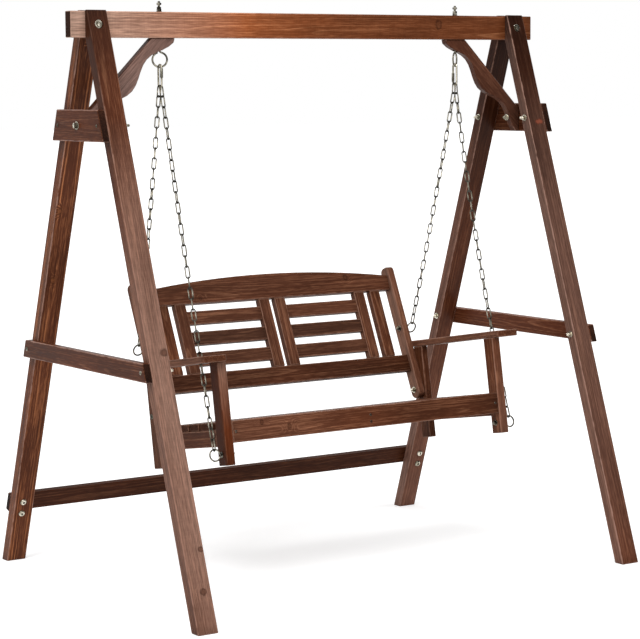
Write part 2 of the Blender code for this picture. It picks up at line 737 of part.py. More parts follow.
def build_chains(swing, eyes, steel):
    """Four chains, from the quick links to the rings of the bench's eye bolts."""
    for side_name, side in SIDES.items():
        for end_name, face, sags in (("front", -1, FRONT_CHAIN_SAG), ("rear", 1, REAR_CHAIN_SAG)):
            start, end = chain_ends(eyes[end_name, side_name], side, face)
            name = "chain_" + end_name + "_" + side_name
            chain(name, start, end, sags[side_name], swing, steel)


def rounded_outline(low, high, low_radius, high_radius):
    """A rectangle with round corners: one radius for the two low corners, one for the others."""
    corners = [
        (high[0] - low_radius, low[1] + low_radius, low_radius, -QUARTER_TURN),
        (high[0] - high_radius, high[1] - high_radius, high_radius, 0),
        (low[0] + high_radius, high[1] - high_radius, high_radius, QUARTER_TURN),
        (low[0] + low_radius, low[1] + low_radius, low_radius, 2 * QUARTER_TURN),
    ]
    points = []
    for a, b, radius, start in corners:
        for k in range(CORNER_STEPS + 1):
            angle = start + QUARTER_TURN * k / CORNER_STEPS
            points.append((a + radius * math.cos(angle), b + radius * math.sin(angle)))
    return points


def span_board(name, lows, highs, frame, wood, eased=True):
    """A board between two opposite corners of a frame."""
    low = Vector([min(pair) for pair in zip(lows, highs)])
    high = Vector([max(pair) for pair in zip(lows, highs)])
    return board(name, high - low, (low + high) / 2, frame, wood, eased=eased)


def bench_eye_bolts(bench, back, swing, steel):
    """The four eye bolts of the bench. Returns each ring's centre and radius, in the swing's frame."""
    to_swing = swing["world"].inverted()
    centres = {}
    for side_name, side in SIDES.items():
        front_x = BENCH_X + BENCH_EYE_NECK + BENCH_EYE_OUTER_RADIUS
        rear_x = STILE_OUTER_X + BENCH_EYE_NECK + REAR_EYE_OUTER_RADIUS
        places = {
            "front": (bench, BENCH_EYE_OUTER_RADIUS, BENCH_X, FRONT_POST_WIDTH),
            "rear": (back, REAR_EYE_OUTER_RADIUS, STILE_OUTER_X, STILE_WIDTH),
        }
        points = {
            "front": Vector((side * front_x, FRONT_POST_DEPTH / 2, FRONT_EYE_HEIGHT)),
            "rear": Vector((side * rear_x, REAR_EYE_DEPTH, REAR_EYE_HEIGHT)),
        }
        for end_name, (frame, outer, seat_x, grip) in places.items():
            point = points[end_name]
            centre = to_swing @ frame["world"] @ point
            centres[end_name, side_name] = (centre, outer)
            face = -1 if end_name == "front" else 1
            up = swing["world"].to_3x3() @ (chain_top(side, face) - centre)
            plane = frame["world"].to_3x3().inverted() @ up
            seat = Vector((side * seat_x, point.y, point.z))
            sizes = (
                outer,
                BENCH_EYE_WIRE_RADIUS,
                BENCH_EYE_NECK,
                grip,
                BENCH_EYE_WASHER_RADIUS,
                BENCH_EYE_THREAD,
            )
            name = "bench_eye_bolt_" + end_name + "_" + side_name
            eye_bolt(name, seat, (-side, 0, 0), plane, sizes, frame, steel)
    return centres


def build_posts(bench, wood):
    """The four posts of the bench, with the eye bolts' holes in the front ones."""
    top = ARM_TOP - ARM_THICKNESS - FIT_GAP
    for side_name, side in SIDES.items():
        inner = BENCH_X - FRONT_POST_WIDTH
        low = (side * inner, 0, 0)
        high = (side * BENCH_X, FRONT_POST_DEPTH, top)
        post = span_board("front_post_" + side_name, low, high, bench, wood)
        at = (side * (inner + BENCH_X) / 2, FRONT_POST_DEPTH / 2, FRONT_EYE_HEIGHT)
        hole(post, at, (1, 0, 0), BOLT_HOLE_RADIUS, FRONT_POST_WIDTH, bench)
        low = (side * (BENCH_X - REAR_POST_WIDTH), REAR_POST_SETBACK, 0)
        high = (side * BENCH_X, REAR_POST_SETBACK + REAR_POST_DEPTH, top)
        span_board("rear_post_" + side_name, low, high, bench, wood)


def build_arms(bench, eyes, swing, wood):
    """The arms, each with rounded corners and a round hole that lets the front chain through."""
    to_bench = bench["world"].inverted() @ swing["world"]
    bottom = ARM_TOP - ARM_THICKNESS
    for side_name, side in SIDES.items():
        inner = BENCH_X - REAR_POST_WIDTH
        low = (inner, -ARM_FRONT_OVERHANG)
        high = (inner + ARM_WIDTH, ARM_LENGTH - ARM_FRONT_OVERHANG)
        outline = rounded_outline(low, high, ARM_CORNER_RADIUS, ARM_CORNER_RADIUS)
        outline = [(side * x, v) for x, v in outline]
        arm = prism("arm_" + side_name, outline, bottom, ARM_TOP, "XY", bench, wood)
        start, end = chain_ends(eyes["front", side_name], side, -1)
        point, direction = chain_line(start, end, FRONT_CHAIN_SAG[side_name])
        head = to_bench @ start
        foot = to_bench @ end
        share = (head.z - (bottom + ARM_TOP) / 2) / (head.z - foot.z)
        at = to_bench @ point(share)
        hole(arm, at, (0, 0, 1), ARM_CHAIN_HOLE_RADIUS, ARM_THICKNESS, bench, BIG_BOLT_SIDES)


def build_seat(bench, wood):
    """The seat's side rails, front and rear rails, middle bearer and slats."""
    low_w = SEAT_SIDE_BOTTOM
    high_w = SEAT_SIDE_BOTTOM + SEAT_SIDE_HEIGHT
    slat_pitch = SEAT_SLAT_WIDTH + SEAT_SLAT_GAP
    slats_end = SEAT_SLAT_START + SEAT_SLAT_COUNT * slat_pitch - SEAT_SLAT_GAP
    rear_v = slats_end - SEAT_RAIL_THICKNESS
    side_inner = BENCH_X - SEAT_SIDE_THICKNESS
    for side_name, side in SIDES.items():
        low = (side * side_inner, FRONT_POST_DEPTH + FIT_GAP, low_w)
        high = (side * BENCH_X, REAR_POST_SETBACK - FIT_GAP, high_w)
        span_board("seat_side_rail_" + side_name, low, high, bench, wood)
    reach = BENCH_X - FRONT_POST_WIDTH - FIT_GAP
    low = (-reach, 0, SEAT_RAIL_BOTTOM)
    span_board("front_seat_rail", low, (reach, SEAT_RAIL_THICKNESS, SEAT_RAIL_TOP), bench, wood)
    rear_reach = side_inner - FIT_GAP
    low = (-rear_reach, rear_v, SEAT_BEARER_BOTTOM)
    span_board("rear_seat_rail", low, (rear_reach, slats_end, high_w), bench, wood)
    half = SEAT_BEARER_THICKNESS / 2
    low = (-half, SEAT_RAIL_THICKNESS + FIT_GAP, SEAT_BEARER_BOTTOM)
    span_board("seat_bearer", low, (half, rear_v - FIT_GAP, high_w), bench, wood)
    for k in range(SEAT_SLAT_COUNT):
        start = SEAT_SLAT_START + k * slat_pitch
        half = reach if k == 0 else BENCH_X - SEAT_SLAT_END_SETBACK
        low = (-half, start, high_w + FIT_GAP)
        high = (half, start + SEAT_SLAT_WIDTH, high_w + FIT_GAP + SEAT_SLAT_THICKNESS)
        span_board("seat_slat_" + str(k + 1), low, high, bench, wood)


def build_back_stiles(back, wood):
    """The outer uprights of the back, round at both ends and bored for the rear eye bolts."""
    foot = (0, STILE_BOTTOM)
    head = (STILE_DEPTH, STILE_TOP)
    outline = rounded_outline(foot, head, STILE_BOTTOM_RADIUS, STILE_TOP_RADIUS)
    for side_name, side in SIDES.items():
        start, end = side * STILE_INNER_X, side * STILE_OUTER_X
        stile = prism("back_stile_" + side_name, outline, start, end, "YZ", back, wood)
        at = ((start + end) / 2, REAR_EYE_DEPTH, REAR_EYE_HEIGHT)
        hole(stile, at, (1, 0, 0), BOLT_HOLE_RADIUS, STILE_WIDTH, back)


def build_back_rails(back, wood):
    """The back's straight bottom rail, and its top rail with an arched upper edge."""
    reach = STILE_INNER_X - FIT_GAP
    near = (STILE_DEPTH - BACK_RAIL_THICKNESS) / 2
    far = near + BACK_RAIL_THICKNESS
    low = (-reach, near, BACK_BOTTOM_RAIL_LOW)
    span_board("back_bottom_rail", low, (reach, far, BACK_BOTTOM_RAIL_HIGH), back, wood)
    rise = BACK_TOP_RAIL_CENTRE - BACK_TOP_RAIL_END
    radius = (reach**2 + rise**2) / (2 * rise)
    outline = [(-reach, BACK_TOP_RAIL_LOW), (reach, BACK_TOP_RAIL_LOW)]
    for k in range(BACK_TOP_RAIL_STEPS + 1):
        x = reach * (1 - 2 * k / BACK_TOP_RAIL_STEPS)
        outline.append((x, BACK_TOP_RAIL_CENTRE - radius + math.sqrt(radius**2 - x**2)))
    prism("back_top_rail", outline, near, far, "XZ", back, wood)


def build_back_panels(back, wood):
    """The two ladder panels of the back and the plain battens beside them."""
    near = (STILE_DEPTH - BACK_RAIL_THICKNESS) / 2
    far = near + BACK_RAIL_THICKNESS
    low_s = BACK_BOTTOM_RAIL_HIGH + FIT_GAP
    high_s = BACK_TOP_RAIL_LOW - FIT_GAP
    gap = (high_s - low_s - PANEL_SLAT_COUNT * PANEL_SLAT_HEIGHT) / (PANEL_SLAT_COUNT + 1)
    inner_x = PANEL_CENTRE_GAP / 2
    outer_x = BATTEN_INNER_X - BATTEN_TO_PANEL
    slat_near = (STILE_DEPTH - PANEL_SLAT_THICKNESS) / 2
    slat_far = slat_near + PANEL_SLAT_THICKNESS
    for side_name, side in SIDES.items():
        name = "back_panel_" + side_name
        high = (side * (inner_x + PANEL_STILE_WIDTH), far, high_s)
        panel = span_board(name, (side * inner_x, near, low_s), high, back, wood)
        low = (side * (outer_x - PANEL_STILE_WIDTH), near, low_s)
        outer_stile = span_board(name + "_outer_stile", low, (side * outer_x, far, high_s), back, wood)
        combine(panel, outer_stile, "UNION")
        start_x = inner_x + PANEL_STILE_WIDTH - PANEL_TENON
        end_x = outer_x - PANEL_STILE_WIDTH + PANEL_TENON
        for k in range(PANEL_SLAT_COUNT):
            low_edge = low_s + gap + k * (PANEL_SLAT_HEIGHT + gap)
            low = (side * start_x, slat_near, low_edge)
            high = (side * end_x, slat_far, low_edge + PANEL_SLAT_HEIGHT)
            slat = span_board(name + "_slat_" + str(k + 1), low, high, back, wood)
            combine(panel, slat, "UNION")
        low = (side * BATTEN_INNER_X, near, low_s)
        high = (side * (BATTEN_INNER_X + BATTEN_WIDTH), far, high_s)
        span_board("back_batten_" + side_name, low, high, back, wood)


def main():
    for leftover in list(bpy.data.objects):
        bpy.data.objects.remove(leftover)
    wood = finish("stained_fir", (0.16, 0.06, 0.035), 0.55, 0.0)
    steel = finish("zinc_plated_steel", (0.72, 0.72, 0.70), 0.32, 1.0)
    ground = axis_frame("ground", Matrix())
    swing = axis_frame("swing_axis", Matrix.Translation((0, 0, SWING_AXIS_HEIGHT)), ground)
    foot = Matrix.Translation((0, -BENCH_FOOT_FORWARD, BENCH_FOOT_HEIGHT - SWING_AXIS_HEIGHT))
    bench = axis_frame("bench_frame", foot @ Matrix.Rotation(-BENCH_TILT, 4, "X"), swing)
    lean = Matrix.Translation((0, BACK_FOOT_SETBACK, 0)) @ Matrix.Rotation(-BACK_LEAN, 4, "X")
    back = axis_frame("back_frame", lean, bench)
    build_beam(ground, wood)
    build_legs(ground, wood)
    build_side_boards(ground, wood)
    build_stretcher(ground, wood)
    build_brackets(ground, wood)
    build_frame_bolts(ground, steel)
    build_beam_eyes(ground, steel)
    build_quick_links(swing, steel)
    eyes = bench_eye_bolts(bench, back, swing, steel)
    build_chains(swing, eyes, steel)
    build_posts(bench, wood)
    build_arms(bench, eyes, swing, wood)
    build_seat(bench, wood)
    build_back_stiles(back, wood)
    build_back_rails(back, wood)
    build_back_panels(back, wood)


main()
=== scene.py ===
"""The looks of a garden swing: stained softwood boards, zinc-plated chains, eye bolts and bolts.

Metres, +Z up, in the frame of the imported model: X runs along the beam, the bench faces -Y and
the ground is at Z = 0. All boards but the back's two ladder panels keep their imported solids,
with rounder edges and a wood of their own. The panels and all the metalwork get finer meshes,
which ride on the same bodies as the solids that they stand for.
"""

from __future__ import annotations

import json
import logging
import math
import random
from collections.abc import Callable, Iterable, Sequence
from dataclasses import dataclass, field, replace
from enum import Enum

import bmesh
import bpy
from mathutils import Matrix, Vector

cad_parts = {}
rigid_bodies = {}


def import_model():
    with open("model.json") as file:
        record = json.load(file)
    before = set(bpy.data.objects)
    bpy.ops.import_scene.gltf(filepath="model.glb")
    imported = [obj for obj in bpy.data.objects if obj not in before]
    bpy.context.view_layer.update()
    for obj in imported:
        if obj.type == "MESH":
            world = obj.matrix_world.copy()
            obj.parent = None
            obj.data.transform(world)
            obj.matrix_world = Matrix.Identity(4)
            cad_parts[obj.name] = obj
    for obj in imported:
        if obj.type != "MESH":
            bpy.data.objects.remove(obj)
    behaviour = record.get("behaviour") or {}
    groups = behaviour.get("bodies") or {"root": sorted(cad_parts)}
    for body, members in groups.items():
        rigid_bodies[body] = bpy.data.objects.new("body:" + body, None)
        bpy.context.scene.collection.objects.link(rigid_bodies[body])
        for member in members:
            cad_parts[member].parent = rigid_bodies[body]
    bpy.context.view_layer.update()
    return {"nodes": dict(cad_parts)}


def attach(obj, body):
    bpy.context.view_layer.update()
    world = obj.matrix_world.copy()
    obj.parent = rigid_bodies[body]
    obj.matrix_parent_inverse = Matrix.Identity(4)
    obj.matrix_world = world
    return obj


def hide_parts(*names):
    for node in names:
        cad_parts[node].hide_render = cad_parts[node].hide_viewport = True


LOG = logging.getLogger("garden_swing")

Colour = tuple[float, float, float]
Point = tuple[float, float, float]
Numbers = Sequence[float]
Shape = bmesh.types.BMesh
Object = bpy.types.Object
Node = bpy.types.Node
NodeTree = bpy.types.NodeTree
Socket = bpy.types.NodeSocket
Value = Socket | float | tuple

FULL_TURN = 2 * math.pi
QUARTER_TURN = math.pi / 2
HEXAGON_FLAT = math.cos(math.pi / 6)
BELL_AT_REACH = 0.3679
FIT_GAP = 0.0003

FRAME_BODY = "frame"
SWING_BODY = "swing"
# The vertex layer of dirt and painted shade on the metal.
GRIME_AND_SHADE = "grime"


class Worded(Enum):
    """A choice that has a word inside piece names."""

    @property
    def word(self) -> str:
        """Its name in small letters."""
        return self.name.lower()


class Side(Worded):
    """The two ends of the swing, as the sign of their X."""

    LEFT = -1
    RIGHT = 1


class End(Worded):
    """The chains' two ends of the bench, as the sign of their Y."""

    FRONT = -1
    REAR = 1


class HeadStyle(Enum):
    """Shapes of a bolt's head."""

    HEXAGON = "hexagon"
    DOME = "dome with a hexagon socket"


# Directions and places

ACROSS = (1, 0, 0)
LEFTWARD = (-1, 0, 0)
AHEAD = (0, -1, 0)
REARWARD = (0, 1, 0)
UP = (0, 0, 1)
UPRIGHT = Matrix.Identity(4)
HANGER_X = 0.5575
LEG_ANGLE = 0.326757
LEG_RISE = math.cos(LEG_ANGLE)
LEG_RUN = math.sin(LEG_ANGLE)
BENCH_TILT = math.radians(9.36)
BACK_LEAN = math.radians(14.6)
BENCH_FRAME = Matrix.Translation((0, -0.318, 0.4096)) @ Matrix.Rotation(-BENCH_TILT, 4, "X")
BACK_FRAME = BENCH_FRAME @ Matrix.Translation((0, 0.357, 0)) @ Matrix.Rotation(-BACK_LEAN, 4, "X")


def aim(direction: Numbers, across: Numbers | None = None) -> Matrix:
    """A rotation that takes +Z to a direction.

    Args:
        direction: Where +Z goes.
        across: Where +X goes, as nearly as it can. Any direction where it is left out.

    Returns:
        The rotation as a 4 x 4 matrix.
    """
    up = Vector(direction).normalized()
    side = Vector(across) if across is not None else up.orthogonal()
    side = (side - side.dot(up) * up).normalized()
    return Matrix((side, up.cross(side), up)).transposed().to_4x4()


def placed(origin: Numbers, direction: Numbers, across: Numbers | None = None) -> Matrix:
    """A place whose +Z points along a direction.

    Args:
        origin: The place's origin.
        direction: Where +Z goes.
        across: Where +X goes, as nearly as it can.

    Returns:
        The place as a 4 x 4 matrix.
    """
    return Matrix.Translation(Vector(origin)) @ aim(direction, across)


# Wiring of shader nodes


class Wiring:
    """Adds nodes to a node tree and joins their sockets in few words."""

    def __init__(self, tree: NodeTree) -> None:
        """Keeps the tree that the nodes go into.

        Args:
            tree: A material's node tree, or a node group.
        """
        self.tree = tree
        self.ports: Node | None = None
        self.results: Node | None = None

    @classmethod
    def group(cls, name: str, inputs: dict[str, str], outputs: dict[str, str]) -> Wiring:
        """Starts a shader node group.

        Args:
            name: The group's name.
            inputs: The inputs' names by socket type, with commas between them.
            outputs: The outputs' names, in the same way.

        Returns:
            A wiring of the group, with its input and output nodes in place.
        """
        tree = bpy.data.node_groups.new(name, "ShaderNodeTree")
        for way, sockets in (("INPUT", inputs), ("OUTPUT", outputs)):
            for kind, labels in sockets.items():
                for label in labels.split(", "):
                    tree.interface.new_socket(name=label, in_out=way, socket_type="NodeSocket" + kind)
        wiring = cls(tree)
        wiring.ports = tree.nodes.new("NodeGroupInput")
        wiring.results = tree.nodes.new("NodeGroupOutput")
        return wiring

    def port(self, label: str) -> Socket:
        """The named input of this group."""
        return self.ports.outputs[label]

    def give(self, label: str, value: Value) -> None:
        """Sends a value to the named output of this group."""
        self.feed(self.results.inputs[label], value)

    def feed(self, socket: Socket, value: Value) -> None:
        """Links a socket to another, or sets it to a plain value.

        Args:
            socket: The input socket.
            value: An output socket, a number, or a tuple of numbers.
        """
        if isinstance(value, Socket):
            self.tree.links.new(value, socket)
        elif isinstance(value, tuple) and len(value) == 3 and socket.type == "RGBA":
            socket.default_value = (*value, 1.0)
        else:
            socket.default_value = value

    def put(self, kind: str, inputs: dict[str | int, Value] | None = None, **settings: object) -> Node:
        """Adds a node.

        Args:
            kind: The node's type, without its ShaderNode prefix.
            inputs: A value or socket for each input, by its label or its number.
            settings: Values of the node's own properties.

        Returns:
            The new node.
        """
        node = self.tree.nodes.new("ShaderNode" + kind)
        for name, value in settings.items():
            setattr(node, name, value)
        for label, value in (inputs or {}).items():
            self.feed(node.inputs[label], value)
        return node

    def math(self, operation: str, *values: Value, clamp: bool = False) -> Socket:
        """Adds a Math node.

        Args:
            operation: Its operation, such as MULTIPLY.
            values: Its inputs, in order.
            clamp: Whether the result stays between 0 and 1.

        Returns:
            The node's result.
        """
        inputs = dict(enumerate(values))
        return self.put("Math", inputs, operation=operation, use_clamp=clamp).outputs[0]

    def plus(self, first: Value, second: Value, clamp: bool = False) -> Socket:
        """The sum of two numbers."""
        return self.math("ADD", first, second, clamp=clamp)

    def minus(self, first: Value, second: Value) -> Socket:
        """The difference of two numbers."""
        return self.math("SUBTRACT", first, second)

    def times(self, first: Value, second: Value, clamp: bool = False) -> Socket:
        """The product of two numbers."""
        return self.math("MULTIPLY", first, second, clamp=clamp)

    def over(self, first: Value, second: Value) -> Socket:
        """The quotient of two numbers."""
        return self.math("DIVIDE", first, second)

    def line(self, value: Value, slope: Value, start: Value, clamp: bool = False) -> Socket:
        """A number times a slope, plus a start."""
        return self.math("MULTIPLY_ADD", value, slope, start, clamp=clamp)

    def bell(self, value: Value, reach: float) -> Socket:
        """A bell curve: 1 where the number is zero, and nearly 0.37 at the reach on both sides."""
        return self.math("POWER", BELL_AT_REACH, self.math("POWER", self.over(value, reach), 2.0))

    def vector(self, operation: str, *values: Value) -> Socket:
        """Adds a Vector Math node.

        Args:
            operation: Its operation, such as ADD. SCALE takes its number as the second value.
            values: Its inputs, in order.

        Returns:
            The node's result: a number for LENGTH and DOT_PRODUCT, and a vector otherwise.
        """
        labels = (0, "Scale") if operation == "SCALE" else (0, 1)
        node = self.put("VectorMath", dict(zip(labels, values)), operation=operation)
        return node.outputs["Value" if operation in ("LENGTH", "DOT_PRODUCT") else "Vector"]

    def split(self, vector: Value) -> list[Socket]:
        """The three parts of a vector."""
        return list(self.put("SeparateXYZ", {0: vector}).outputs)

    def join(self, x: Value, y: Value, z: Value) -> Socket:
        """A vector of three numbers."""
        return self.put("CombineXYZ", {"X": x, "Y": y, "Z": z}).outputs[0]

    def ramp(self, value: Value, low: float, high: float, start: float = 0.0, end: float = 1.0) -> Socket:
        """A smooth step.

        Args:
            value: The number that is mapped.
            low: Where the step begins.
            high: Where the step ends.
            start: The result below it.
            end: The result above it.

        Returns:
            The stepped number.
        """
        inputs = {"Value": value, "From Min": low, "From Max": high, "To Min": start, "To Max": end}
        return self.put("MapRange", inputs, interpolation_type="SMOOTHSTEP").outputs["Result"]

    def noise(self, place: Value, stretch: Point, detail: float = 2.0) -> Node:
        """Adds a Noise Texture of its own scale along each axis.

        Args:
            place: The position that it reads.
            stretch: Features per metre along each axis.
            detail: How many finer octaves it has.

        Returns:
            The texture node.
        """
        stretched = self.vector("MULTIPLY", place, stretch)
        return self.put("TexNoise", {"Vector": stretched, "Scale": 1.0, "Detail": detail})

    def blend(self, share: Value, first: Value, second: Value) -> Socket:
        """Mixes two colours.

        Args:
            share: How much of the second colour shows.
            first: The colour at 0.
            second: The colour at 1.

        Returns:
            The mixed colour.
        """
        inputs = {"Factor": share, 6: first, 7: second}
        return self.put("Mix", inputs, data_type="RGBA", clamp_factor=True).outputs[2]

    def use(self, group: NodeTree, inputs: dict[str, Value]) -> Node:
        """Places a node group, with a value or socket for each named input."""
        return self.put("Group", inputs, node_tree=group)

    def coat(self, surface: Node, look: Node, strength: float, depth: float) -> None:
        """Gives a surface the colour, roughness and relief that a group puts out.

        Args:
            surface: The Principled BSDF.
            look: The group's node.
            strength: How strongly the relief bends the light.
            depth: The relief's depth in metres.
        """
        inputs = {"Strength": strength, "Distance": depth, "Height": look.outputs["Height"]}
        relief = self.put("Bump", inputs)
        self.feed(surface.inputs["Base Color"], look.outputs["Color"])
        self.feed(surface.inputs["Roughness"], look.outputs["Roughness"])
        self.feed(surface.inputs["Normal"], relief.outputs["Normal"])


def new_material(name: str) -> tuple[bpy.types.Material, Wiring, Node]:
    """Starts a material.

    Args:
        name: Its name.

    Returns:
        The material, its wiring and its Principled BSDF.
    """
    made = bpy.data.materials.new(name)
    made.use_nodes = True
    return made, Wiring(made.node_tree), made.node_tree.nodes["Principled BSDF"]


def shared_group(build: Callable[[str], NodeTree]) -> NodeTree:
    """The node group of a maker, which builds it the first time that it is asked for."""
    return bpy.data.node_groups.get(build.__name__) or build(build.__name__)


def labelled(owner: object, *names: str) -> dict[str, Value]:
    """Values of an object, each under its name as the sockets of the node groups write it.

    Args:
        owner: The object.
        names: The names of its attributes, such as ring_width.

    Returns:
        The values by label, such as Ring Width.
    """
    return {name.replace("_", " ").title(): getattr(owner, name) for name in names}


FIGURE_MASKS = "Rings, Knot, Knot Rim, Fibre, Blotch, Saw Marks"
CUT_AND_LIGHT_MASKS = "End Grain, Worn Edge, Dark End, Along Share, Faded Side"
SURFACE_LOOK = {"Color": "Color", "Float": "Roughness, Height"}


def wood_figure(name: str) -> NodeTree:
    """The figure of a sawn board: growth rings around a leaning pith, knots, fibres and blotches.

    Place is in metres from the board's middle, with X along the board. The rings are shells
    around a line that the Pith and Lean inputs put beside the board, so that its faces show
    straight or arched grain and its ends show arcs. Knots are spokes of that line.

    Args:
        name: The group's name.

    Returns:
        The group, whose outputs run from 0 to 1.
    """
    w = Wiring.group(
        name,
        {"Vector": "Place, Pith, Lean, Known Knot, Other Knot", "Float": "Seed, Ring Width, Knot Share"},
        {"Float": FIGURE_MASKS},
    )
    knot_step, knot_turn, halo_reach, rim_reach = 0.19, 0.55, 0.018, 0.25
    place, seed = w.port("Place"), w.port("Seed")
    moved = w.vector("ADD", place, w.vector("SCALE", (7.31, 3.17, 5.73), seed))
    along, _, _ = w.split(place)
    wander = w.vector("SUBTRACT", w.noise(moved, (1.4, 4.5, 4.5), 2.0).outputs["Color"], (0.5, 0.5, 0.5))
    ripple = w.vector("SUBTRACT", w.noise(moved, (7.0, 28.0, 28.0), 1.0).outputs["Color"], (0.5, 0.5, 0.5))
    from_pith = w.vector("SUBTRACT", place, w.port("Pith"))
    leaning = w.vector("SUBTRACT", from_pith, w.vector("SCALE", w.port("Lean"), along))
    bent = w.vector("ADD", leaning, w.vector("SCALE", wander, 0.016))
    bent = w.vector("ADD", bent, w.vector("SCALE", ripple, 0.0012))
    _, sideways, outward = w.split(bent)
    radius = w.vector("LENGTH", w.join(0.0, sideways, outward))
    turn = w.math("ARCTAN2", sideways, outward)

    u = w.plus(w.over(along, knot_step), w.times(seed, 3.7))
    v = w.plus(w.over(turn, knot_turn), w.times(seed, 1.3))
    scatter = {"Vector": w.join(u, v, 0.0), "Scale": 1.0, "Randomness": 0.8}
    cells = w.put("TexVoronoi", scatter, voronoi_dimensions="2D")
    cell_u, cell_v, _ = w.split(cells.outputs["Position"])
    chance, growth, _ = w.split(cells.outputs["Color"])
    knot_x = w.times(w.minus(u, cell_u), knot_step)
    knot_y = w.times(w.times(w.minus(v, cell_v), knot_turn), radius)
    absent = w.math("GREATER_THAN", chance, w.port("Knot Share"))
    away = w.plus(w.vector("LENGTH", w.join(knot_x, knot_y, 0.0)), absent)
    share = w.over(away, w.line(growth, 0.006, 0.0035))
    lumps = w.line(w.noise(moved, (90.0, 120.0, 120.0), 2.0).outputs[0], 0.010, -0.005)
    for label in ("Known Knot", "Other Knot"):
        known_x, known_turn, known_size = w.split(w.port(label))
        known_y = w.times(w.minus(turn, known_turn), radius)
        known = w.vector("LENGTH", w.join(w.minus(along, known_x), known_y, 0.0))
        known = w.math("MAXIMUM", w.plus(known, lumps), 0.0)
        share = w.math("MINIMUM", share, w.over(known, known_size))
        away = w.math("MINIMUM", away, known)
    halo = w.bell(away, halo_reach)

    swollen = w.line(halo, 0.011, radius)
    uneven = w.noise(w.join(swollen, seed, 0.0), (55.0, 1.0, 1.0), 1.0).outputs[0]
    years = w.line(uneven, 1.6, w.over(swollen, w.port("Ring Width")))
    year = w.math("FRACT", years)
    late = w.times(w.ramp(year, 0.56, 0.88), w.ramp(year, 0.92, 0.99, 1.0, 0.0))
    strength = w.ramp(w.noise(moved, (2.5, 30.0, 30.0), 1.0).outputs[0], 0.32, 0.66, 0.12, 1.0)
    late = w.times(late, strength)
    knot = w.ramp(share, 0.75, 1.05, 1.0, 0.0)
    whorls = w.math("PINGPONG", w.times(away, 400.0), 1.0)
    rim = w.bell(w.minus(share, 1.0), rim_reach)

    fine = w.noise(moved, (30.0, 400.0, 400.0), 3.0).outputs[0]
    wide = w.noise(moved, (4.0, 210.0, 210.0), 2.0).outputs[0]
    fibre = w.plus(w.times(fine, 0.50), w.times(wide, 0.50))
    clear = w.times(late, w.minus(1.0, knot))
    w.give("Rings", w.plus(clear, w.times(whorls, knot)))
    w.give("Knot", knot)
    w.give("Knot Rim", rim)
    w.give("Fibre", w.ramp(fibre, 0.32, 0.68))
    w.give("Blotch", w.ramp(w.noise(moved, (3.0, 12.0, 12.0), 2.0).outputs[0], 0.25, 0.75))
    w.give("Saw Marks", w.ramp(w.noise(moved, (260.0, 16.0, 16.0), 2.0).outputs[0], 0.35, 0.65))
    return w.tree


def board_ends_and_edges(name: str) -> NodeTree:
    """Masks of where a board was cut and handled: its end grain, its rubbed edges, which also carry a
    painted highlight, and its dark ends, and the painted light and shade of one side.

    Args:
        name: The group's name.

    Returns:
        The group. Place is in metres from the board's middle, and Half Size is half of the
        board along its own axes. Along is the board's direction, in the object's space, and
        Painted Light Way points out of one side, which Painted Light Strength makes paler with
        painted light, or darker with painted shade below zero.
    """
    w = Wiring.group(
        name,
        {"Vector": "Place, Half Size, Along, Normal, Faded Way", "Float": "Side Fade, Seed"},
        {"Float": CUT_AND_LIGHT_MASKS},
    )
    place = w.port("Place")
    left = w.vector("SUBTRACT", w.port("Half Size"), w.vector("ABSOLUTE", place))
    a, b, c = w.split(left)
    low, high = w.math("MINIMUM", a, b), w.math("MAXIMUM", a, b)
    from_edge = w.math("MAXIMUM", low, w.math("MINIMUM", high, c))
    moved = w.vector("ADD", place, w.vector("SCALE", (1.9, 4.3, 2.7), w.port("Seed")))
    rough = w.noise(moved, (40.0, 160.0, 160.0), 3.0).outputs[0]
    reach = w.line(rough, 0.007, from_edge)
    # Rubbed edges: pale partly from rubbing and partly from a painted highlight.
    w.give("Worn Edge", w.ramp(reach, 0.0046, 0.0072, 1.0, 0.0))
    facing = w.math("ABSOLUTE", w.vector("DOT_PRODUCT", w.port("Normal"), w.port("Along")))
    w.give("End Grain", w.ramp(facing, 0.75, 0.93))
    w.give("Dark End", w.ramp(w.line(rough, 0.02, a), 0.008, 0.045, 1.0, 0.0))
    along, _, _ = w.split(place)
    half, _, _ = w.split(w.port("Half Size"))
    w.give("Along Share", w.line(w.over(along, half), 0.5, 0.5))
    # Painted light on one side; below zero the strength paints shade there instead.
    toward_painted_side = w.math("MAXIMUM", w.vector("DOT_PRODUCT", w.port("Normal"), w.port("Faded Way")), 0.0)
    w.give("Faded Side", w.times(toward_painted_side, w.port("Side Fade")))
    return w.tree


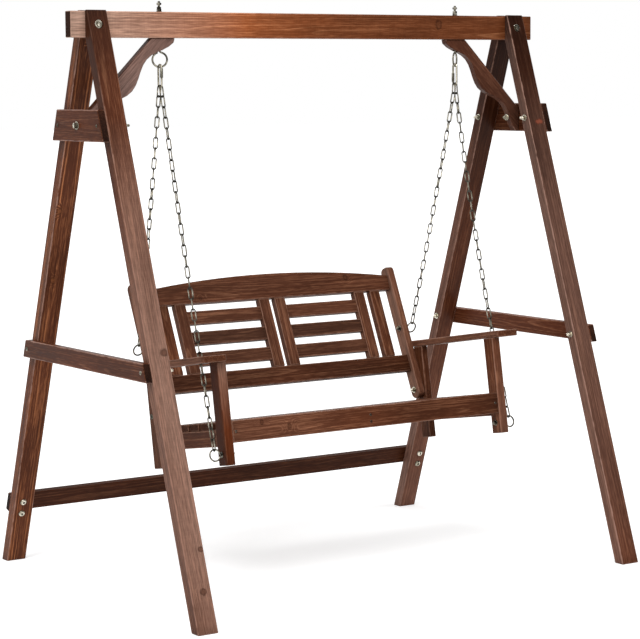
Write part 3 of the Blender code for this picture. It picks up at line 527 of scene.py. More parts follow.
def stain_colour(name: str) -> NodeTree:
    """Turns a board's figure, rubbed edges and painted light and shade into the colour, gloss and relief
    of its stain.

    Args:
        name: The group's name.

    Returns:
        The group. Pale Start and Pale End say how pale the board is at its two ends, and Pale
        Middle how much paler it is between them: partly weathered stain, partly painted sheen.
        Below zero they make it darker, as painted shade. Tone Slope makes its end lighter than
        its start.
    """
    contrasts = "Ring Contrast, Fibre Contrast, Blotch Contrast, Saw Contrast"
    fading_and_painted_light = "Pale Start, Pale Middle, Pale End, Tone Slope, Wear, End Darkness"
    numbers = ", ".join((FIGURE_MASKS, CUT_AND_LIGHT_MASKS, contrasts, fading_and_painted_light))
    colours = "Soft Wood, Hard Wood, Knot Heart, Pale"
    w = Wiring.group(name, {"Float": numbers, "Color": colours}, SURFACE_LOOK)
    darkest = -0.72
    streak = w.times(w.minus(w.port("Fibre"), 0.5), w.port("Fibre Contrast"))
    line = w.line(w.port("Rings"), w.port("Ring Contrast"), streak, clamp=True)
    wood = w.blend(line, w.port("Soft Wood"), w.port("Hard Wood"))
    shade = w.times(w.minus(w.port("Blotch"), 0.5), w.port("Blotch Contrast"))
    dark_streak = w.times(w.minus(w.port("Fibre"), 0.5), 0.30)
    sawn = w.times(w.minus(w.port("Saw Marks"), 0.5), w.port("Saw Contrast"))
    level = w.plus(w.plus(1.0, shade), w.plus(dark_streak, sawn))
    along = w.port("Along Share")
    # The pale share along the board plus the side's painted light: partly weathered stain, partly painted
    # sheen, and painted shade below zero, down to darkest.
    slope = w.line(along, w.minus(w.port("Pale End"), w.port("Pale Start")), w.port("Pale Start"))
    swell = w.times(w.times(along, w.minus(1.0, along)), 4.0)
    mean = w.plus(w.line(swell, w.port("Pale Middle"), slope), w.port("Faded Side"))
    mean = w.math("MAXIMUM", mean, darkest)
    level = w.times(level, w.line(w.line(along, 2.0, -1.0), w.port("Tone Slope"), 1.0))
    # Below zero the share darkens the wood as painted shade.
    wood = w.vector("SCALE", wood, w.times(level, w.line(w.math("MINIMUM", mean, 0.0), 0.75, 1.0)))
    fresh = w.minus(1.0, w.port("End Grain"))
    # Above zero the wood turns towards the pale colour: partly weathered stain, partly painted sheen.
    pale = w.times(w.times(mean, fresh), w.line(w.port("Blotch"), 0.5, 0.75), clamp=True)
    pale_level = w.plus(w.line(line, 0.42, 0.76), w.plus(w.times(dark_streak, 1.6), sawn))
    pale_wood = w.vector("SCALE", w.port("Pale"), pale_level)
    wood = w.blend(pale, wood, pale_wood)
    wood = w.blend(w.times(w.port("Knot"), 0.62), wood, w.port("Knot Heart"))
    wood = w.blend(w.times(w.port("Knot Rim"), 0.60), wood, w.vector("SCALE", w.port("Knot Heart"), 0.45))
    # Rubbed edges turn pale, partly from rubbing and partly as painted highlight; on sides with painted
    # shade they darken with it.
    worn_and_highlit = w.times(w.times(w.port("Worn Edge"), w.port("Wear")), w.ramp(mean, -0.8, 0.0, 0.1, 1.0))
    wood = w.blend(worn_and_highlit, wood, w.vector("SCALE", w.port("Pale"), 1.05))
    cut_darkness = w.times(w.port("End Grain"), w.port("End Darkness"))
    darker = w.plus(cut_darkness, w.times(w.port("Dark End"), 0.22), clamp=True)
    w.give("Color", w.vector("SCALE", wood, w.minus(1.0, darker)))
    gloss = w.line(w.port("Fibre"), 0.10, w.line(w.port("Rings"), -0.08, 0.34))
    w.give("Roughness", w.plus(gloss, w.times(w.port("End Grain"), 0.22)))
    relief = w.line(w.port("Rings"), 0.55, w.times(w.port("Fibre"), 0.35))
    w.give("Height", w.line(w.port("Knot Rim"), -0.35, relief))
    return w.tree


def plated_metal(name: str) -> NodeTree:
    """Zinc plating: bright grain, darker spots that are partly tarnish and partly painted dark reflection,
    and darker specks, with dirt and painted shade in contacts and recesses, and a rougher skin in the
    spots and the dirt.

    Args:
        name: The group's name.

    Returns:
        The group.
    """
    w = Wiring.group(
        name, {"Vector": "Place", "Float": "Seed, Soot, Grime", "Color": "Bright, Dull"}, SURFACE_LOOK
    )
    moved = w.vector("ADD", w.port("Place"), w.vector("SCALE", (0.37, 0.91, 0.53), w.port("Seed")))
    cloud = w.noise(moved, (70.0, 70.0, 70.0), 3.0).outputs[0]
    speck = w.noise(moved, (900.0, 900.0, 900.0), 2.0).outputs[0]
    # Darker spots: partly tarnish, partly painted dark reflection.
    dark_reflection_patch = w.ramp(cloud, 0.38, 0.62)
    colour = w.blend(dark_reflection_patch, w.port("Bright"), w.port("Dull"))
    dark = w.times(w.ramp(speck, 0.46, 0.66), w.port("Soot"))
    # Dirt and painted shade darken the metal in its contacts and recesses.
    clean_and_unshaded = w.times(w.minus(1.0, dark), w.line(w.port("Grime"), -0.88, 1.0))
    w.give("Color", w.vector("SCALE", colour, clean_and_unshaded))
    shine = w.plus(w.line(dark_reflection_patch, 0.12, 0.14), w.times(speck, 0.08))
    w.give("Roughness", w.line(w.port("Grime"), 0.3, shine))
    w.give("Height", w.plus(speck, w.times(cloud, 0.5)))
    return w.tree


# Finishes


@dataclass(frozen=True)
class WoodFinish:
    """A stain on softwood, and how much of the grain shows through it.

    Colours are linear. Soft wood takes up the most stain, and hard wood makes the grain lines.
    """

    slot: str
    soft_wood: Colour
    hard_wood: Colour
    knot_heart: Colour
    # The pale colour: partly weathered stain, partly painted sheen.
    pale: Colour
    ring_contrast: float = 0.75
    fibre_contrast: float = 0.35
    blotch_contrast: float = 0.45
    # How pale rubbed edges turn: partly rubbing, partly painted highlight.
    wear: float = 0.75
    relief: float = 0.30
    relief_depth: float = 0.0006
    saw_contrast: float = 0.0
    end_darkness: float = 0.62
    gloss: float = 0.11

    def material(self, board: Board) -> bpy.types.Material:
        """Makes the wood of one board.

        Args:
            board: The board's place, size and figure.

        Returns:
            A material that only that board uses.
        """
        made, w, surface = new_material("stain_" + board.name)
        look = board.look
        spot = w.put("TexCoord")
        board_frame = {"Location": tuple(board.middle), "Rotation": tuple(board.axes.to_euler())}
        inputs = {"Vector": spot.outputs["Object"], **board_frame}
        place = w.put("Mapping", inputs, vector_type="TEXTURE").outputs["Vector"]
        figure = w.use(
            shared_group(wood_figure),
            {
                "Place": place,
                "Known Knot": board.knot_spoke(0),
                "Other Knot": board.knot_spoke(1),
                **labelled(board, "pith", "lean", "seed", "ring_width"),
                **labelled(look, "knot_share"),
            },
        )
        cut = w.use(
            shared_group(board_ends_and_edges),
            {
                "Place": place,
                "Half Size": tuple(board.half),
                "Along": tuple(board.axes.col[0][:3]),
                "Normal": spot.outputs["Normal"],
                **labelled(board, "seed"),
                **labelled(look, "faded_way", "side_fade"),
            },
        )
        stain = w.use(
            shared_group(stain_colour),
            {
                **{mask.name: mask for mask in (*figure.outputs, *cut.outputs)},
                "Soft Wood": scaled(self.soft_wood, look.tone),
                "Hard Wood": scaled(self.hard_wood, look.tone),
                **labelled(self, "knot_heart", "pale", "wear", "end_darkness"),
                **labelled(self, "ring_contrast", "fibre_contrast", "blotch_contrast", "saw_contrast"),
                **labelled(look, "pale_start", "pale_middle", "pale_end", "tone_slope"),
            },
        )
        w.coat(surface, stain, self.relief, self.relief_depth)
        surface.inputs["Specular IOR Level"].default_value = self.gloss
        return made


@dataclass(frozen=True)
class MetalFinish:
    """Zinc plating on steel. Colours are linear."""

    slot: str
    bright: Colour
    # The darker spots' colour: partly tarnish, partly painted dark reflection.
    dull: Colour
    soot: float
    relief: float = 0.12
    relief_depth: float = 0.0002

    def material(self, name: str, seed: float) -> bpy.types.Material:
        """Makes the plating of one piece.

        Args:
            name: The piece's name.
            seed: Moves the pattern, so that pieces differ.

        Returns:
            The material.
        """
        made, w, surface = new_material("plating_" + name)
        plating = w.use(
            shared_group(plated_metal),
            {
                "Place": w.put("TexCoord").outputs["Object"],
                "Seed": seed,
                "Grime": w.put("Attribute", attribute_name=GRIME_AND_SHADE).outputs["Fac"],
                **labelled(self, "bright", "dull", "soot"),
            },
        )
        w.coat(surface, plating, self.relief, self.relief_depth)
        surface.inputs["Metallic"].default_value = 1.0
        return made


def scaled(colour: Colour, factor: float) -> Colour:
    """A colour made lighter or darker by a factor."""
    return tuple(part * factor for part in colour)


BEAM_WOOD = WoodFinish(
    slot="beam_wood",
    soft_wood=(0.165, 0.044, 0.013),
    hard_wood=(0.360, 0.138, 0.058),
    knot_heart=(0.070, 0.018, 0.006),
    pale=(0.600, 0.370, 0.275),
    ring_contrast=0.65,
    fibre_contrast=0.50,
    wear=0.45,
    saw_contrast=0.07,
    end_darkness=0.70,
    gloss=0.07,
)
FRAME_WOOD = WoodFinish(
    slot="frame_wood",
    soft_wood=(0.086, 0.023, 0.009),
    hard_wood=(0.290, 0.120, 0.060),
    knot_heart=(0.060, 0.017, 0.007),
    pale=(0.325, 0.185, 0.140),
    ring_contrast=0.36,
    fibre_contrast=0.52,
    gloss=0.07,
)
BENCH_WOOD = WoodFinish(
    slot="bench_wood",
    soft_wood=(0.082, 0.024, 0.010),
    hard_wood=(0.315, 0.138, 0.071),
    knot_heart=(0.050, 0.013, 0.005),
    pale=(0.270, 0.140, 0.095),
    ring_contrast=0.38,
    fibre_contrast=0.44,
    end_darkness=0.28,
    gloss=0.05,
)
HARDWARE_SLOT = "frame_hardware"
CHAIN_SLOT = "chain_steel"
HARDWARE = MetalFinish(HARDWARE_SLOT, bright=(0.93, 0.87, 0.73), dull=(0.34, 0.31, 0.23), soot=0.5)
EYE_STEEL = MetalFinish(HARDWARE_SLOT, bright=(0.44, 0.41, 0.33), dull=(0.07, 0.065, 0.05), soot=0.7)
SCREW_STEEL = MetalFinish(HARDWARE_SLOT, bright=(0.34, 0.31, 0.25), dull=(0.07, 0.06, 0.05), soot=0.6)
RING_STEEL = MetalFinish(CHAIN_SLOT, bright=(0.36, 0.33, 0.26), dull=(0.05, 0.045, 0.035), soot=0.7)
SLEEVE_STEEL = MetalFinish(CHAIN_SLOT, bright=(0.40, 0.38, 0.30), dull=(0.10, 0.09, 0.07), soot=0.6)
CHAIN_STEEL = MetalFinish(CHAIN_SLOT, bright=(0.80, 0.74, 0.60), dull=(0.34, 0.31, 0.23), soot=0.5)


# Boards


@dataclass(frozen=True)
class BoardLook:
    """A board's stain, and how its tone, its rubbed edges, its knots and its painted light and shade
    differ from other boards'.

    Attributes:
        finish: The stain.
        tone: Makes it lighter or darker.
        tone_slope: How much lighter than that the board's end is, and how much darker its start.
        pale_start: How pale it is at its low end, from 0 to 1: partly weathered stain, partly
            painted sheen. Below zero it is darker, as painted shade.
        pale_middle: How much paler it is between its ends.
        pale_end: How pale it is at its high end.
        faded_way: Points out of the side that has painted light and shade.
        side_fade: How much paler that side is with painted light, or darker with
            painted shade below zero.
        knot_share: The share of possible knots that it has.
        knots: Up to two knots, each as its distance along and across the board, and its radius.
    """

    finish: WoodFinish
    tone: float = 1.0
    tone_slope: float = 0.0
    pale_start: float = 0.0
    pale_middle: float = 0.0
    pale_end: float = 0.0
    faded_way: Point = (-1.0, 0.0, 0.0)
    side_fade: float = 0.0
    knot_share: float = 0.06
    knots: tuple[Point, ...] = ()


# A knot at an angle that no point of a board has
NO_KNOT = (0.0, 9.0, 0.001)


@dataclass
class Board:
    """One board's place, size and figure.

    Attributes:
        name: The board's name, which also seeds its figure.
        axes: Its rotation: X along the board, Y across it and Z out of its best face.
        middle: Its middle.
        half: Half of its size along its own axes.
        look: Its stain, rubbed edges and painted light and shade.
        seed: Moves its pattern, so that boards differ.
        pith: Where the line that its rings run around passes its middle.
        lean: How far that line moves for each metre along the board.
        ring_width: The width of a year's ring.
    """

    name: str
    axes: Matrix
    middle: Vector
    half: Vector
    look: BoardLook
    seed: float = field(init=False)
    pith: Point = field(init=False)
    lean: Point = field(init=False)
    ring_width: float = field(init=False)

    def __post_init__(self) -> None:
        """Draws the figure that the name stands for."""
        draw = random.Random(self.name)
        self.seed = draw.uniform(0.0, 10.0)
        depth = self.half.z + draw.uniform(0.008, 0.045)
        self.pith = (0.0, draw.uniform(-0.6, 0.6) * self.half.y, -depth)
        self.lean = (0.0, draw.uniform(-0.010, 0.010), draw.uniform(-0.022, 0.022))
        self.ring_width = draw.uniform(0.0034, 0.0052)

    def knot_spoke(self, order: int) -> Point:
        """A known knot as the figure wants it.

        Args:
            order: The knot's place in the list.

        Returns:
            How far it is along the board and around the pith, and its radius.
        """
        if order >= len(self.look.knots):
            return NO_KNOT
        along, across, radius = self.look.knots[order]
        sideways = across - self.pith[1] - self.lean[1] * along
        outward = self.half.z - self.pith[2] - self.lean[2] * along
        return (along, math.atan2(sideways, outward), radius)

    @classmethod
    def around(cls, obj: Object, along: Vector, face: Vector, look: BoardLook) -> Board:
        """Measures a board's mesh.

        Args:
            obj: The board.
            along: Its direction.
            face: The way its best face looks.
            look: Its stain, rubbed edges and painted light and shade.

        Returns:
            The measured board.
        """
        rotation = aim(face, along).to_3x3()
        spots = [rotation.transposed() @ vertex.co for vertex in obj.data.vertices]
        low = Vector([min(spot[k] for spot in spots) for k in range(3)])
        high = Vector([max(spot[k] for spot in spots) for k in range(3)])
        middle = rotation @ ((low + high) / 2)
        return cls(obj.name, rotation.to_4x4(), middle, (high - low) / 2, look)


def dress(obj: Object, material: bpy.types.Material) -> None:
    """Gives a piece one material."""
    obj.data.materials.clear()
    obj.data.materials.append(material)


def smooth_faces(name: str) -> NodeTree:
    """Shades all faces smooth, for use before a bevel with hard normals.

    Args:
        name: The group's name.

    Returns:
        The geometry node group.
    """
    tree = bpy.data.node_groups.new(name, "GeometryNodeTree")
    for way in ("INPUT", "OUTPUT"):
        tree.interface.new_socket(name="Geometry", in_out=way, socket_type="NodeSocketGeometry")
    start = tree.nodes.new("NodeGroupInput")
    shade = tree.nodes.new("GeometryNodeSetShadeSmooth")
    end = tree.nodes.new("NodeGroupOutput")
    tree.links.new(start.outputs[0], shade.inputs["Geometry"])
    tree.links.new(shade.outputs["Geometry"], end.inputs[0])
    return tree


def keep_faces_flat(obj: Object) -> None:
    """Turns the normals at a board's edges to its large faces, so that only the rounding looks round.

    Args:
        obj: The board's object.
    """
    flat = obj.modifiers.new("flat_faces", "WEIGHTED_NORMAL")
    flat.mode = "FACE_AREA"
    flat.weight = 100
    flat.keep_sharp = True


def round_edges(obj: Object, width: float, segments: int, least_degrees: float) -> None:
    """Rounds the edges of a board, and keeps its faces flat.

    Args:
        obj: The board's object.
        width: How far the rounding reaches from each edge.
        segments: Faces across it.
        least_degrees: The least angle of an edge that is rounded.
    """
    bevel = obj.modifiers.new("rounded_edges", "BEVEL")
    bevel.width = width
    bevel.segments = segments
    bevel.limit_method = "ANGLE"
    bevel.angle_limit = math.radians(least_degrees)
    keep_faces_flat(obj)


def round_packed_edges(obj: Object) -> None:
    """Rounds the chamfers of a packed board, and leaves its own mesh as it is.

    Args:
        obj: The board's object.
    """
    weld = obj.modifiers.new("one_skin", "WELD")
    weld.merge_threshold = 0.00001
    flat = obj.modifiers.new("whole_faces", "DECIMATE")
    flat.decimate_type = "DISSOLVE"
    flat.angle_limit = math.radians(1.0)
    shade = obj.modifiers.new("smooth_faces", "NODES")
    shade.node_group = shared_group(smooth_faces)
    round_edges(obj, 0.0009, 2, 30.0)


def round_own_edges(obj: Object) -> None:
    """Rounds the edges of a board that this file makes."""
    obj.data.shade_smooth()
    round_edges(obj, 0.0022, 3, 35.0)


@dataclass
class Assembly:
    """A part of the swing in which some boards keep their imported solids.

    Attributes:
        nodes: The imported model's objects by name.
    """

    nodes: dict[str, Object]

    def dress_board(
        self, name: str, look: BoardLook, along: Numbers, face: Numbers, place: Matrix = UPRIGHT
    ) -> None:
        """Gives a packed board its wood and rounder edges.

        Args:
            name: The board's name.
            look: Its stain, rubbed edges and painted light and shade.
            along: Its direction.
            face: The way its best face looks.
            place: The frame that both directions are in.
        """
        turn = place.to_3x3()
        board = self.nodes[name]
        measured = Board.around(board, turn @ Vector(along), turn @ Vector(face), look)
        dress(board, look.finish.material(measured))
        round_packed_edges(board)
        LOG.info("%s keeps its packed solid", name)


# Turned, swept and threaded shapes

Ring = tuple[float, float] | Callable[[float], tuple[float, float]]

HEXAGON_SIDES = 36
WASHER_SIDES = 32
SCREW_SIDES = 48
SHANK_SIDES = 16
WIRE_SIDES = 12
# How far an open wire's rounded end reaches and how wide it is there, as shares of its radius
END_REACH = 0.45
END_WIDTH = 0.72


def hexagon(corner: float, height: float, chamfer: float = 0.0) -> Ring:
    """A ring with six corners.

    Args:
        corner: The distance of its corners from the axis.
        height: The ring's height at its flats.
        chamfer: How steeply the height drops towards the corners.

    Returns:
        The ring, for a turned shape.
    """
    flat = corner * HEXAGON_FLAT

    def ring(turn: float) -> tuple[float, float]:
        """Radius and height at an angle."""
        radius = flat / math.cos((turn + math.pi / 6) % (math.pi / 3) - math.pi / 6)
        return radius, height - chamfer * (radius - flat)

    return ring


def cross(reach: float, width: float, height: float) -> Ring:
    """A ring with four arms, as the recess of a screw has.

    Args:
        reach: The distance of the arms' ends from the axis.
        width: The arms' width.
        height: The ring's height.

    Returns:
        The ring, for a turned shape.
    """

    def ring(turn: float) -> tuple[float, float]:
        """Radius and height at an angle."""
        off = abs((turn + QUARTER_TURN / 2) % QUARTER_TURN - QUARTER_TURN / 2)
        return min(reach, width / 2 / max(math.sin(off), 0.01)), height

    return ring


def metal_shape() -> Shape:
    """Starts a mesh of metal.

    Returns:
        An empty mesh whose points say how much dirt and painted shade sit on them.
    """
    shape = bmesh.new()
    shape.verts.layers.float.new(GRIME_AND_SHADE)
    return shape


def cover(shape: Shape, rows: list[list[bmesh.types.BMVert]], closed: bool = False) -> None:
    """Joins rings of points with faces.

    Args:
        shape: The mesh that the points are in.
        rows: The rings, in order.
        closed: Whether the last ring meets the first. Otherwise both are capped.
    """
    pairs = list(zip(rows, rows[1:])) + ([(rows[-1], rows[0])] if closed else [])
    for low, high in pairs:
        for k in range(len(low)):
            after = (k + 1) % len(low)
            shape.faces.new((low[k], low[after], high[after], high[k]))
    if not closed:
        shape.faces.new(list(reversed(rows[0])))
        shape.faces.new(rows[-1])


def turn_shape(
    shape: Shape, rings: Sequence[Ring], sides: int, place: Matrix, grime: Numbers = ()
) -> None:
    """Adds a closed shape that is turned around the Z axis of a place.

    Args:
        shape: The mesh that it goes into.
        rings: Radius and height of each ring, from one end to the other.
        sides: Points of each ring.
        place: The axis and the way that it points.
        grime: The dirt and painted shade on each ring. The rings that it doesn't reach have none.
    """
    layer = shape.verts.layers.float[GRIME_AND_SHADE]
    rows = []
    for index, ring in enumerate(rings):
        row = []
        for k in range(sides):
            turn = FULL_TURN * k / sides
            radius, height = ring(turn) if callable(ring) else ring
            spot = Vector((radius * math.cos(turn), radius * math.sin(turn), height))
            point = shape.verts.new(place @ spot)
            point[layer] = grime[index] if index < len(grime) else 0.0
            row.append(point)
        rows.append(row)
    cover(shape, rows)


def sweep(
    shape: Shape,
    path: Sequence[Vector],
    normal: Vector,
    radius: float | Callable[[int], float],
    sides: int,
    closed: bool = False,
) -> None:
    """Adds a round wire along a path that lies in a plane.

    Args:
        shape: The mesh that it goes into.
        path: Points of the wire's middle.
        normal: The plane's normal.
        radius: The wire's radius, or its radius at each point.
        sides: Points around the wire.
        closed: Whether the wire's ends meet. Open ends are rounded.
    """
    count = len(path)
    rows = []

    def add_row(point: Vector, tangent: Vector, size: float) -> None:
        """Adds one ring of points around the wire.

        Args:
            point: Its middle.
            tangent: The wire's direction there.
            size: Its radius.
        """
        across = tangent.cross(normal).normalized()
        row = []
        for k in range(sides):
            turn = FULL_TURN * k / sides
            row.append(shape.verts.new(point + (across * math.cos(turn) + normal * math.sin(turn)) * size))
        rows.append(row)

    for k, point in enumerate(path):
        before = path[k - 1] if closed or k else point
        after = path[(k + 1) % count] if closed or k < count - 1 else point
        tangent = (after - before).normalized()
        size = radius(k) if callable(radius) else radius
        if not closed and k == 0:
            add_row(point - tangent * size * END_REACH, tangent, size * END_WIDTH)
        add_row(point, tangent, size)
        if not closed and k == count - 1:
            add_row(point + tangent * size * END_REACH, tangent, size * END_WIDTH)
    cover(shape, rows, closed)


def cut_thread(
    shape: Shape, low: float, high: float, core: float, crest: float, pitch: float, place: Matrix
) -> None:
    """Adds a screw thread around the Z axis of a place.

    Args:
        shape: The mesh that it goes into.
        low: Where the thread starts.
        high: Where it ends.
        core: The radius at its root.
        crest: The radius at its crest.
        pitch: The rise of one turn.
        place: The axis and the way that it points.
    """
    steps = 14
    total = int((high - low) / pitch * steps) + steps
    roots, crests = [], []
    for k in range(total + 1):
        turn = FULL_TURN * k / steps
        rise = low - pitch + pitch * k / steps
        unit = Vector((math.cos(turn), math.sin(turn), 0))
        for row, radius, lift in ((roots, core, 0.0), (crests, crest, pitch / 2)):
            height = min(max(rise + lift, low), high)
            row.append(shape.verts.new(place @ (unit * radius + Vector((0, 0, height)))))
    for k in range(total):
        shape.faces.new((roots[k], roots[k + 1], crests[k + 1], crests[k]))
        if k + steps < total:
            shape.faces.new((crests[k], crests[k + 1], roots[k + 1 + steps], roots[k + steps]))


def oblong_path(
    centre: Vector, along: Vector, across: Vector, length: float, width: float, steps: int
) -> list[Vector]:
    """Points of an oblong loop with round ends.

    Args:
        centre: Its middle.
        along: The direction of its length.
        across: The direction of its width.
        length: Its length.
        width: Its width.
        steps: Points of each round end.

    Returns:
        The points, which start on the middle of the straight side that faces across.
    """
    radius = width / 2
    straight = length / 2 - radius
    points = [centre + across * radius]
    for end in (1, -1):
        for k in range(steps + 1):
            angle = math.pi * k / steps
            sideways = across * (end * radius * math.cos(angle))
            points.append(centre + sideways + along * (end * (straight + radius * math.sin(angle))))
        if end == 1:
            points.append(centre - across * radius)
    return points


def add_piece(name: str, shape: Shape, body: str, sharp_degrees: float = 35.0) -> Object:
    """Turns a finished mesh into a piece that rides on a body.

    Args:
        name: The piece's name.
        shape: Its mesh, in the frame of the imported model. It is used up.
        body: The body that it rides on.
        sharp_degrees: The least angle of an edge that stays sharp.

    Returns:
        The piece.
    """
    bmesh.ops.recalc_face_normals(shape, faces=shape.faces[:])
    mesh = bpy.data.meshes.new(name)
    shape.to_mesh(mesh)
    shape.free()
    mesh.shade_smooth()
    mesh.set_sharp_from_angle(angle=math.radians(sharp_degrees))
    piece = bpy.data.objects.new(name, mesh)
    bpy.context.scene.collection.objects.link(piece)
    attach(piece, body)
    LOG.info("%s rides on %s", name, body)
    return piece


def finish_metal(piece: Object, finish: MetalFinish, *nodes: str) -> Object:
    """Plates a piece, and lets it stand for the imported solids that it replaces.

    Args:
        piece: The piece.
        finish: Its plating.
        nodes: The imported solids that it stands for.

    Returns:
        The piece.
    """
    dress(piece, finish.material(piece.name, random.Random(piece.name).uniform(0.0, 10.0)))
    if nodes:
        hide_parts(*nodes)
    return piece


# Fasteners


# How steeply a hexagon's chamfer drops, and the share of its flats that its round face keeps
HEXAGON_CHAMFER = 0.58
HEXAGON_FACE = 0.95


@dataclass(frozen=True)
class Fastener:
    """A bolt with its washers and nut. It starts at the surface under its head, and points into the work.

    Attributes:
        head: The head's shape.
        head_radius: The head's radius, to its corners or its rim.
        head_height: Its height.
        head_washer_radius: The radius of the washer under it, or zero where it has none.
        head_grime: The least dirt and painted shade on it.
        washer_radius: The radius of the washer under the nut.
        shank_radius: The radius of the thread's crest.
        shank_play: How much thinner the plain shank is.
        washer: The thickness of each washer.
        nut_radius: The nut's radius, to its corners.
        nut_height: Its height.
        thread_end: How far the bolt stands out of it.
        thread_pitch: The rise of one turn of the thread.
        thread_depth: The depth of the thread.
    """

    head: HeadStyle = HeadStyle.DOME
    head_radius: float = 0.0100
    head_height: float = 0.0045
    head_washer_radius: float = 0.0105
    head_grime: float = 0.0
    washer_radius: float = 0.0105
    shank_radius: float = 0.0040
    shank_play: float = 0.0004
    washer: float = 0.0016
    nut_radius: float = 0.0075
    nut_height: float = 0.0065
    thread_end: float = 0.0060
    thread_pitch: float = 0.00125
    thread_depth: float = 0.0006

    def add(self, shape: Shape, start: Numbers, direction: Numbers, grip: float) -> None:
        """Adds the whole bolt to a mesh.

        Args:
            shape: The mesh.
            start: The point under the head.
            direction: The way that the bolt points.
            grip: The thickness that it clamps.
        """
        place = placed(start, direction)
        self.add_head(shape, place)
        if self.head_washer_radius:
            self.add_washer(shape, place, -self.washer, self.head_washer_radius)
        self.add_nut_end(shape, place, grip)
        core = self.shank_radius - self.shank_play
        rings = [(core, -0.0002), (core, grip + self.washer + self.nut_height)]
        turn_shape(shape, rings, SHANK_SIDES, place)

    def add_head(self, shape: Shape, place: Matrix) -> None:
        """Adds the head, with the chamfer or the socket that it has.

        Args:
            shape: The mesh.
            place: The bolt's place.
        """
        seat = self.washer if self.head_washer_radius else 0.0
        top = place @ Matrix.Translation((0, 0, -seat)) @ Matrix.Rotation(math.pi, 4, "X")
        radius, height = self.head_radius, self.head_height
        if self.head is HeadStyle.HEXAGON:
            face = (radius * HEXAGON_FLAT * HEXAGON_FACE, height)
            rings = [hexagon(radius, 0.0), hexagon(radius, height, HEXAGON_CHAMFER), face]
            # Painted shade, with some dirt, where the head meets its seat.
            turn_shape(shape, rings, HEXAGON_SIDES, top, (1.0, 0.25, 0.10))
            return
        rings: list[Ring] = [(radius * 0.97, 0.0), (radius, height * 0.10)]
        steps, steepest = 6, math.radians(68)
        for k in range(1, steps + 1):
            lean = k / steps * steepest
            rise = 0.12 + 0.88 * math.sin(lean) / math.sin(steepest)
            rings.append((radius * math.cos(lean) ** 0.72, height * rise))
        socket = radius * 0.34
        rings += [(socket * 1.25, height), hexagon(socket, height * 0.97)]
        rings.append(hexagon(socket * 0.96, height * 0.40))
        # Painted shade, with some dirt, at the head's foot and in its socket.
        grime = (1.0, 0.6, 0.1, 0, 0, 0, 0, 0, 0.1, 1.0, 1.0)
        turn_shape(shape, rings, HEXAGON_SIDES, top, [max(share, self.head_grime) for share in grime])

    def add_washer(self, shape: Shape, place: Matrix, low: float, radius: float) -> None:
        """Adds a washer with slightly rounded rims.

        Args:
            shape: The mesh.
            place: The bolt's place.
            low: Where the washer starts along the bolt.
            radius: Its radius.
        """
        edge, high = 0.00035, low + self.washer - 0.0001
        rings = [(radius - edge, low), (radius, low + edge), (radius, high - edge), (radius - edge, high)]
        # Painted shade, with some dirt, around the washer's rim.
        turn_shape(shape, rings, WASHER_SIDES, place, (0.1, 0.7, 0.7, 0.1))

    def add_nut(self, shape: Shape, place: Matrix, low: float) -> None:
        """Adds a nut that is chamfered on both faces.

        Args:
            shape: The mesh.
            place: The bolt's place.
            low: Where the nut starts along the bolt.
        """
        radius, high = self.nut_radius, low + self.nut_height
        face = radius * HEXAGON_FLAT * HEXAGON_FACE
        rings: list[Ring] = [
            (face, low),
            hexagon(radius, low, -HEXAGON_CHAMFER),
            hexagon(radius, high, HEXAGON_CHAMFER),
            (face, high),
            (self.shank_radius + 0.0006, high),
            (self.shank_radius + 0.0001, high - 0.0006),
        ]
        turned = place @ Matrix.Rotation(0.4, 4, "Z")
        # Painted shade, with some dirt, at the nut's foot and in its bore.
        turn_shape(shape, rings, HEXAGON_SIDES, turned, (0.8, 0.5, 0.0, 0.0, 0.2, 1.0))

    def add_nut_end(self, shape: Shape, place: Matrix, grip: float) -> None:
        """Adds the washer, the nut and the threaded end beyond what the bolt clamps.

        Args:
            shape: The mesh.
            place: The bolt's place.
            grip: The thickness that it clamps.
        """
        self.add_washer(shape, place, grip, self.washer_radius)
        self.add_nut(shape, place, grip + self.washer)
        low = grip + self.washer + self.nut_height
        self.add_thread_end(shape, place, low - 0.0012, low + self.thread_end)

    def add_thread_end(self, shape: Shape, place: Matrix, low: float, high: float) -> None:
        """Adds a thread with a chamfered end.

        Args:
            shape: The mesh.
            place: The bolt's place.
            low: Where the thread starts along the bolt.
            high: Where it ends.
        """
        core, crest = self.shank_radius - self.thread_depth, self.shank_radius
        chamfer = high - 0.0006
        cut_thread(shape, low, chamfer, core, crest, self.thread_pitch, place)
        rings = [(core + 0.0001, low), (core + 0.0003, chamfer), (core - 0.0002, high)]
        turn_shape(shape, rings, SHANK_SIDES, place)


